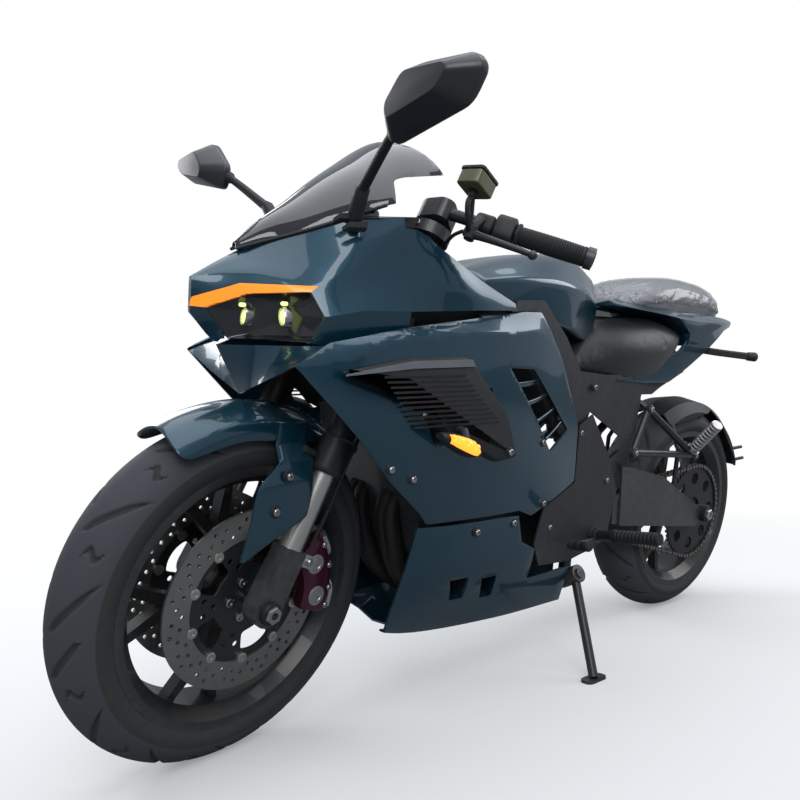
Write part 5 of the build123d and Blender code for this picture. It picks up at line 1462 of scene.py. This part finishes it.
for hand in (1, -1):
    sweep = caliper["end"] - caliper["start"]
    shares = [k / caliper["steps"] for k in range(caliper["steps"] + 1)]
    for face in (1, -1):
        rings = []
        for t in shares:
            inset = 3.0 * max(0.0, 1 - min(t, 1 - t) * 14)
            rings.append([besideAxle(133 + (r - 133) * (1 - inset / 33), caliper["start"] + sweep * t,
                                     hand * (caliper["y"] + face * (22 + (y - 22) * (1 - inset / 14))))
                          for r, y in caliper["half"]])
        forkGear.rings(rings, 0)
    rings = []
    for t in shares:
        narrow = 0.62 if 0.3 < t < 0.7 else 1.0
        flare = 1.0 if 0.22 < t < 0.78 else 1.12
        rings.append([besideAxle(r, caliper["start"] + 4 + (sweep - 8) * t, hand * (caliper["y"] + y * narrow * flare))
                      for r, y in caliper["bridge"]])
    forkGear.rings(rings, 1)
    for angle in (150, 166, 182, 194):
        forkGear.bolt(besideAxle(157, angle, hand * (caliper["y"] + 29)), (0, hand, 0), 5.5, 4, 2, 8, 1)
    for angle in (158, 186):  # round piston housings on the outer half
        forkGear.turned(besideAxle(127, angle, hand * (caliper["y"] + 33.8)), (0, hand, 0),
                        [(-2, 18), (1.6, 18), (2.6, 16.6), (2.6, 11), (1.4, 10), (1.4, 0.1)], 24, 1)
    lug = steerPoint(35 - 44.2, hand * 100, 94)
    forkGear.block([lug + steerForward * dx + Vector((0, hand * dy, 0)) + steerUp * dz
                    for dz in (-11, 11) for dx, dy in ((-20, -8), (20, -8), (20, 8), (-20, 8))], 1)
    forkGear.bolt(lug + Vector((0, hand * 8, 0)) - steerForward * 6, (0, hand, 0), 7, 5, 2)
piece = forkGear.piece("front_calipers_cast", "steering", ["caliperWine", "caliperSilver", "boltSteel"], "caliper", 32)
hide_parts("front_calipers")

# ---- fork: seals, caps, adjusters, clamp bolts, hoses down each leg ----
fork = {"ahead": 35, "side": 102,
        "hose": [(-17, 94, 120), (-16, 98, 190), (2, 112, 262), (2, 116, 380), (-4, 112, 480)]}
legs = Batch()
for hand in (1, -1):
    foot = steerPoint(fork["ahead"], hand * fork["side"], 250)
    legs.turned(foot, steerUp, [(-9, 21.0), (-9, 26.5), (-5, 29.4), (-1, 30.4), (0.4, 30.4)], 32, 0)
    legs.turned(foot, steerUp, [(51.6, 30.2), (54.5, 28.6), (57, 26.2)], 32, 0)
    top = steerPoint(fork["ahead"], hand * fork["side"], 765)
    legs.turned(top, steerUp, [(-1, 25), (3, 25), (5, 23), (5, 15), (4, 14.5)], 32, 1)
    legs.turned(top, steerUp, [(3.5, 12), (10, 12), (11, 10.8), (11, 5), (14, 5), (14.6, 4.2)], 6, 2)
    for level in (534, 712):
        legs.bolt(steerPoint(fork["ahead"] + 38.4, hand * fork["side"], level), steerForward, 5.5, 4, 3)
    hose = smoothLine([steerPoint(x, hand * y, z) for x, y, z in fork["hose"]], 6)
    legs.tube(hose, 3.6, 10, 0)
    for ahead, level in ((2, 300), (4, 400)):
        grip = steerPoint(ahead, hand * 113, level)
        legs.turned(grip, steerUp, [(-5, 5.6), (5, 5.6)], 12, 0)
        legs.tube([grip, steerPoint(14, hand * 106, level)], 3.2, 8, 0)
legs.piece("fork_dress", "steering", ["mouldedBlack", "anodisedGraphite", "boltSteel", "boltSteel"], "steel", 35)

# ---- axle ends: chamfered nut and washer on the left, hollow spindle head on the right ----
ends = Batch()
for hand in (1, -1):
    base = Vector((axle.x, hand * 130, axle.z))
    ends.turned(base, (0, hand, 0), [(-10, 19), (-1, 19), (0.5, 18)], 28, 0)
    ends.turned(base, (0, hand, 0), [(0, 15.5), (5, 15.5), (7, 14), (7, 7.4), (-6, 7)], 6 if hand > 0 else 24, 1)
ends.piece("front_axle_ends", "steering", ["anodisedGraphite", "boltSteel"], "steel", 35)

# ---- bars: ribbed grips with flanges, switch pods with buttons, shaped levers, reservoir and hose ----
bar = {
    "level": 748, "root": (55, 125), "tip": (-78, 360), "gripLength": 125, "ribs": 26, "pot": (92, 212),
    "cable": [(56, 192, 708), (50, 172, 704), (30, 140, 690), (14, 92, 640), (4, 60, 590)],
    "feed": [(92, 212, 754), (98, 216, 738), (84, 216, 718), (58, 206, 708)],
    "end": [(0, 17.2), (1, 18.6), (9, 19), (13, 17), (15, 12), (15.5, 5)],
    "pods": ((39.5, 21.5, 25, 37), (76, 15.5, 17.5, 35)),  # how far before the grip, half depth, half height, length
    "buttons": ((32, 9, 5.5), (14, 10, 4.5), (24, -9, 6.5), (10, -8, 4.5)),  # how far before the grip, lift, radius
    "perch": [10.5, 10, 9.5, 9, 8.8, 8.6, 8.4, 8.2, 8],
    "lever": ((-0.07, 0), (0.12, 0), (0.35, 1), (0.7, 1.2), (0.94, 0.4), (1.0, 0)),  # share of its length, bow
    "knob": [(-3, 5), (0, 7.0), (4, 8.0), (8, 7), (11, 3.5)],
    "pivot": [(-11.5, 6), (-11.5, 9.5), (11, 9.5), (12, 8), (12, 4.5), (9, 4)],
}
bars, rubber, tank = Batch(), Batch(), Batch()
for hand in (1, -1):
    root = steerPoint(bar["root"][0], hand * bar["root"][1], bar["level"])
    tip = steerPoint(bar["tip"][0], hand * bar["tip"][1], bar["level"])
    run = (tip - root).normalized()
    length = (tip - root).length
    gripAt = length - 4 - bar["gripLength"]
    profile = [(0.2, 11.4), (0.2, 20), (3.5, 21), (6, 20), (7, 16.6)]
    wide = (bar["gripLength"] - 13) / bar["ribs"]
    for k in range(bar["ribs"]):
        low = 9 + k * wide
        bulge = 0.8 * math.sin(math.pi * k / bar["ribs"])
        profile += [(low, 15.9 + bulge), (low + wide * 0.28, 16.9 + bulge), (low + wide * 0.72, 16.9 + bulge)]
    profile += [(bar["gripLength"] - 3, 17.4), (bar["gripLength"] - 0.4, 16.4), (bar["gripLength"] - 0.4, 11.4)]
    rubber.turned(root + run * gripAt, run, profile, 36)
    bars.turned(root + run * (length - 3.8), run, bar["end"], 28, 1)
    podSide = run.cross(steerUp).normalized()
    for before, deep, tall, long in bar["pods"]:
        rings = []
        for along, grow in ((0, 0.80), (2.5, 0.96), (6, 1.0), (long - 6, 1.0), (long - 2.5, 0.96), (long, 0.80)):
            middle = root + run * (gripAt - before + along)
            ring = []
            for a in turns(28):
                c, s = math.cos(a), math.sin(a)
                c, s = math.copysign(abs(c) ** 0.62, c), math.copysign(abs(s) ** 0.62, s)
                ring.append(middle + podSide * (c * deep * grow) + steerUp * (s * tall * grow))
            rings.append(ring)
        bars.rings(rings, 0)
    rear = 1 if podSide.x < 0 else -1
    for before, lift, size in bar["buttons"]:
        middle = root + run * (gripAt - before) + podSide * (rear * 20.5) + steerUp * lift
        bars.turned(middle, podSide * rear, [(-1, size), (2.2, size), (3.4, size - 1.2), (3.6, 0.3)], 12, 2)
    pivot = steerPoint(52, hand * 204, bar["level"] - 40)
    far = steerPoint(14, hand * 318, bar["level"] - 54)
    start = root + run * (gripAt - 60) + steerForward * 12
    bars.tube(smoothLine([start, (start + pivot) / 2 + steerUp * 3, pivot], 4), bar["perch"], 14)
    span = far - pivot
    bow = steerForward * 2
    lever = smoothLine([pivot + span * t + bow * lift for t, lift in bar["lever"]], 4)
    bars.tube(lever, [8.2 if k < 5 else max(5.0, 7.4 - 0.22 * (k - 5)) for k in range(len(lever))], 12, 3)
    bars.turned(far - span.normalized() * 4, span, bar["knob"], 16, 3)
    bars.turned(pivot + span * 0.03, steerUp, bar["pivot"], 18, 2)
pot = bar["pot"]
for low, high, grow, mark, soft in ((764, 789.6, 0, 0, 1.5), (790, 796, 3, 1, 1.2)):
    rings = []
    for level, inset in ((low, soft), (low + soft, 0), (high - soft, 0), (high, soft)):
        corner = roundedOutline([(pot[0] + sx * (26 + grow / 2 - inset), pot[1] + sy * (23 + grow / 2 - inset))
                                 for sx, sy in ((1, 1), (-1, 1), (-1, -1), (1, -1))], 8, 4)
        rings.append([steerPoint(x, y, level) for x, y in corner])
    tank.rings(rings, mark)
for sx in (-1, 1):
    for sy in (-1, 1):
        tank.turned(steerPoint(pot[0] + sx * 19, pot[1] + sy * 16, 796), steerUp,
                    [(-0.5, 3.4), (1.2, 3.4), (1.6, 2.4), (1.6, 0.2)], 10, 2)
tank.tube([steerPoint(82, 202, 765), steerPoint(53.9, 196, 731.9)], 6, 12, 1)
tank.turned(steerPoint(*pot, 765), steerUp, [(-12, 5), (-10, 6), (-2, 6), (0, 12), (1, 12)], 14, 1)
tank.tube(smoothLine([steerPoint(*p) for p in bar["feed"]], 6), 4.6, 12, 1)
for hand, radius in ((1, 3.4), (-1, 4.2)):
    bars.tube(smoothLine([steerPoint(x, hand * y, z) for x, y, z in bar["cable"]], 6), radius, 10, 0)
piece = rubber.piece("ribbed_grips", "steering", "gripRubber", "rubber", 30)
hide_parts("grips")
piece = bars.piece("bar_controls", "steering", ["mouldedBlack", "anodisedGraphite", "gripRubber", "satinSteelBlack"],
                   "black_plastic", 35)
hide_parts("hand_controls")
piece = tank.piece("brake_fluid_tank", "steering", ["oliveResin", "mouldedBlack", "boltSteel"], "reservoir", 35)
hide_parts("brake_reservoir")
print("steering gear made")

# ---- chain: plates and rollers round both sprockets ----
drive = {"rear": (-700, 300, 131.46), "front": (-205, 345, 38.18), "y": 88, "pitch": 15.875, "gap": 3.9, "plate": 1.5,
         "before": ((-4.2, 4.6), (0, 6.4), (3.6, 5.6)), "after": ((3.6, -5.6), (0, -6.4), (-4.2, -4.6), (-6.2, 0)),
         "round": ((-3.6, 5.6), (0, 6.4), (4.2, 4.6), (6.2, 0), (4.2, -4.6), (0, -6.4), (-3.6, -5.6)),
         "roller": [(-8.2, 2.4), (-8.2, 2.9), (-3.7, 2.9), (-3.7, 4.7), (3.7, 4.7), (3.7, 2.9), (8.2, 2.9), (8.2, 2.4)]}
rearHub, frontHub = Vector(drive["rear"][:2]), Vector(drive["front"][:2])
span = frontHub - rearHub
tilt = math.asin((drive["rear"][2] - drive["front"][2]) / span.length)
heading = math.atan2(span.y, span.x)
route = []
upper, lower = heading + math.pi / 2 - tilt, heading - math.pi / 2 + tilt
for k in range(61):  # round the rear sprocket from its lower tangent point to its upper one
    a = lower - (lower - (upper - 2 * math.pi)) * k / 60
    route.append(rearHub + Vector((math.cos(a), math.sin(a))) * drive["rear"][2])
for k in range(31):
    a = upper - (upper - lower) * k / 30
    route.append(frontHub + Vector((math.cos(a), math.sin(a))) * drive["front"][2])
route.append(route[0].copy())
steps = [(b - a).length for a, b in zip(route, route[1:])]
count = 2 * round(sum(steps) / drive["pitch"] / 2)
links = []
leg, passed = 0, 0.0
for k in range(count):
    want = sum(steps) * k / count
    while passed + steps[leg] < want:
        passed += steps[leg]
        leg += 1
    links.append(route[leg].lerp(route[leg + 1], (want - passed) / steps[leg]))
chain = Batch()
for k, start in enumerate(links):
    end = links[(k + 1) % count]
    ahead = (end - start).normalized()
    across = Vector((-ahead.y, ahead.x))
    outline = [middle + ahead * dx + across * dy
               for middle, form in ((start, "before"), (end, "round"), (start, "after")) for dx, dy in drive[form]]
    for side in (1, -1):
        near = side * (drive["gap"] + (drive["plate"] + 0.3 if k % 2 else 0))
        far = near + side * drive["plate"]
        chain.rings([[Vector((p.x, drive["y"] + y, p.y)) for p in outline] for y in (near, far)], 0)
    chain.turned((start.x, drive["y"], start.y), (0, 1, 0), drive["roller"], 10, 1)
piece = chain.piece("chain_links", "chassis", ["oiledChain", "machinedSteel"], "chain", 35)
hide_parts("chain")

# ---- rear shock: coil over a damper body ----
damper = {"foot": (-329, 0, 370), "head": (-147.15, 0, 583), "turns": 7, "steps": 168, "coil": 22, "wire": 4.6}
low = Vector(damper["foot"])
run = Vector(damper["head"]) - low
axis = run.normalized()
shock = Batch()
half = run.length * 0.5
shock.turned(low, axis, [(0, 9), (20, 9), (20, 15), (half, 15), (half, 9), (run.length, 9)], 24, 0)
for share in (0.11, 0.87):
    shock.turned(low + run * share, axis, [(-4, 20), (-4, 28), (4, 28), (4, 20)], 28, 0)
side, other = axis.orthogonal().normalized(), axis.cross(axis.orthogonal().normalized())
coil = []
for k in range(damper["steps"] + 1):
    t = k / damper["steps"]
    a = damper["turns"] * 2 * math.pi * t
    coil.append(low + run * (0.14 + 0.70 * t) + (side * math.cos(a) + other * math.sin(a)) * damper["coil"])
shock.tube(coil, damper["wire"], 8, 1)
piece = shock.piece("coil_over_shock", "chassis", ["anodisedGraphite", "satinSteelBlack"], "black_metal", 35)
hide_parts("rear_shock")

# ---- pegs: ribbed rubber and knurled sleeves, ball ends, hanger bolts ----
pegs = Batch()
for hand in (1, -1):
    for start, end, inner, outer, ribs, mark in (((-160, 150, 316), (-150, 312, 352), 12.2, 14.2, 11, 0),
                                                 ((-552, 142, 484), (-520, 226, 574), 13.2, 15.2, 9, 1)):
        start, end = Vector((start[0], hand * start[1], start[2])), Vector((end[0], hand * end[1], end[2]))
        run = end - start
        first = 0.30 if mark == 0 else 0.16
        flange = run.length * first
        profile = [(flange, inner - 1), (flange, outer + 1.5), (flange + 4, outer + 1.5)]
        width = run.length * (0.99 - first) / ribs
        for k in range(ribs):
            at = flange + 4 + k * width * 0.94
            profile += [(at + 0.6, inner), (at + width * 0.3, outer), (at + width * 0.7, outer),
                        (at + width * 0.9, inner)]
        profile += [(run.length - 1, outer), (run.length + 3, outer - 1.2), (run.length + 3.6, 4)]
        pegs.turned(start, run, profile, 28, mark)
    for x, y, z in ((-357, 140.2, 606), (-300, 144.2, 500), (-560, 160.2, 482)):
        pegs.turned((x, hand * (y - 6), z), (0, hand, 0), [(-6, 12), (5, 12), (6.5, 10.5)], 20, 2)
        pegs.bolt((x, hand * y, z), (0, hand, 0), 6.5, 4, 1)
    pegs.turned((-160, hand * 155.2, 316), (0, hand, 0), [(-1, 19), (1.5, 19), (2.5, 17.5), (2.5, 15)], 28, 2)
    pegs.turned((-24, hand * 200, 324), (0.05, hand, 0.2),
                [(-20, 9.4), (-18, 11), (-12, 11), (-10, 9.6), (-4, 9.6), (-2, 11), (6, 11), (8, 9.6), (14, 9.6),
                 (16, 11), (28, 11), (31, 9)], 20, 0)
pegs.piece("peg_sleeves", "chassis", ["gripRubber", "caliperSilver", "satinSteelBlack", "boltSteel"], "steel", 35)

# ---- rear axle nut and chain adjusters ----
rearAxle = Vector((-700, 0, 300))
rearEnds = Batch()
for hand, washer, nut, sides in ((1, 22, 16.5, 6), (-1, 20, 14.5, 24)):
    rearEnds.turned(rearAxle + Vector((0, hand * 137.5, 0)), (0, hand, 0),
                    [(-12, washer), (1.5, washer), (2.5, washer - 1.5), (2.5, 16)], 28, 0)
    rearEnds.turned(rearAxle + Vector((0, hand * 139, 0)), (0, hand, 0),
                    [(0, nut), (6.5, nut), (8, nut - 1.5), (8, 8.4), (2, 8)], sides, 1)
for hand in (1, -1):
    rearEnds.turned((-745, hand * 113, 300), (-1, 0, 0), [(-4, 7), (4, 7), (5, 6)], 6, 1)
    rearEnds.turned((-752, hand * 113, 300), (-1, 0, 0), [(-4, 4), (14, 4), (15, 3)], 12, 1)
rearEnds.piece("rear_axle_ends", "chassis", ["anodisedGraphite", "boltSteel"], "steel", 35)

# ---- fasteners along the bodywork ----
fixings = Batch()
places = [(x, fairingDepth(x, z) + 0.4, z)
          for x, z in ((286, 392), (180, 396), (84, 424), (118, 556), (518, 532), (469, 512))]
places += [(-117, 137, 661), (-343, 121, 688), (-66, 148, 560), (-196, 137, 440), (30, 159, 360), (-150, 143, 315)]
for x, y, z in places:
    for hand in (1, -1):
        fixings.bolt((x, hand * y, z), (0, hand, 0), 6, 3.6, 0, 9.5, 1)
fixings.piece("panel_bolts", "chassis", ["boltSteel", "mouldedBlack"], "steel", 35)

# ---- inner duct: a dark baffle below the radiator with the header pipe bends ----
duct = Batch()
sheet = [(352, 152, 600), (346, 146, 420), (318, 140, 330), (292, 132, 262), (270, 118, 214)]
wing = [(352, 150, 600), *sheet[1:4]]
header = [(352, 0, 470), (386, 0, 430), (378, 0, 350), (330, -6, 262), (268, -10, 214)]
duct.rings([[Vector((x + dx, side * y, z + dz)) for side, dx, dz in ((-1, 0, 0), (1, 0, 0), (1, -4, -1), (-1, -4, -1))]
            for x, y, z in sheet], 0)
for hand in (1, -1):
    duct.rings([[Vector((x + dx, hand * (y + dy), z + dz)) for dx, dy, dz in
                 ((0, 0, 0), (62, 14, 8), (62, 11, 8), (0, -3, 0))] for x, y, z in wing], 0)
    for y in (38, 62):
        duct.tube(smoothLine([(x, hand * (y + dy), z) for x, dy, z in header], 5), 17, 16, 1)
    for x, z in ((372, 552), (364, 430)):
        duct.bolt((x, hand * 156, z), (0.3, hand, 0), 6, 4, 2)
duct.piece("inner_duct", "chassis", ["mouldedBlack", "exhaustBlack", "boltSteel"], "black_plastic", 30)
print("rear gear made")

# ---- floor ----
bpy.ops.mesh.primitive_plane_add(size=60, location=(0, 0, 0))
floor = bpy.context.object
floor.name = "floor"
floorMaterial = bpy.data.materials.new("paleFloor")
floorMaterial.use_nodes = True
floorTree = floorMaterial.node_tree
floorShader = floorTree.nodes["Principled BSDF"]
floorShader.inputs["Base Color"].default_value = (*backdrop["colour"], 1)
floorShader.inputs["Roughness"].default_value = 0.9
spot = floorTree.nodes.new("ShaderNodeNewGeometry")
away = floorTree.nodes.new("ShaderNodeVectorMath")
away.operation = "LENGTH"
floorTree.links.new(spot.outputs["Position"], away.inputs[0])
fade = floorTree.nodes.new("ShaderNodeMapRange")
fade.interpolation_type = "SMOOTHSTEP"
fade.inputs["From Min"].default_value, fade.inputs["From Max"].default_value = backdrop["fade"]
fade.inputs["To Min"].default_value = backdrop["nearWhite"]
floorTree.links.new(away.outputs["Value"], fade.inputs["Value"])
ray = floorTree.nodes.new("ShaderNodeLightPath")
seen = mathNode(floorTree, "MULTIPLY", fade.outputs["Result"], ray.outputs["Is Camera Ray"])
floorTree.links.new(mixColour(floorTree, ray.outputs["Is Camera Ray"], backdrop["bounce"], backdrop["colour"]),
                    floorShader.inputs["Base Color"])
glow = floorTree.nodes.new("ShaderNodeEmission")
blend = floorTree.nodes.new("ShaderNodeMixShader")
floorTree.links.new(seen, blend.inputs["Fac"])
floorTree.links.new(floorShader.outputs["BSDF"], blend.inputs[1])
floorTree.links.new(glow.outputs["Emission"], blend.inputs[2])
floorTree.links.new(blend.outputs["Shader"], floorTree.nodes["Material Output"].inputs["Surface"])
floor.data.materials.append(floorMaterial)
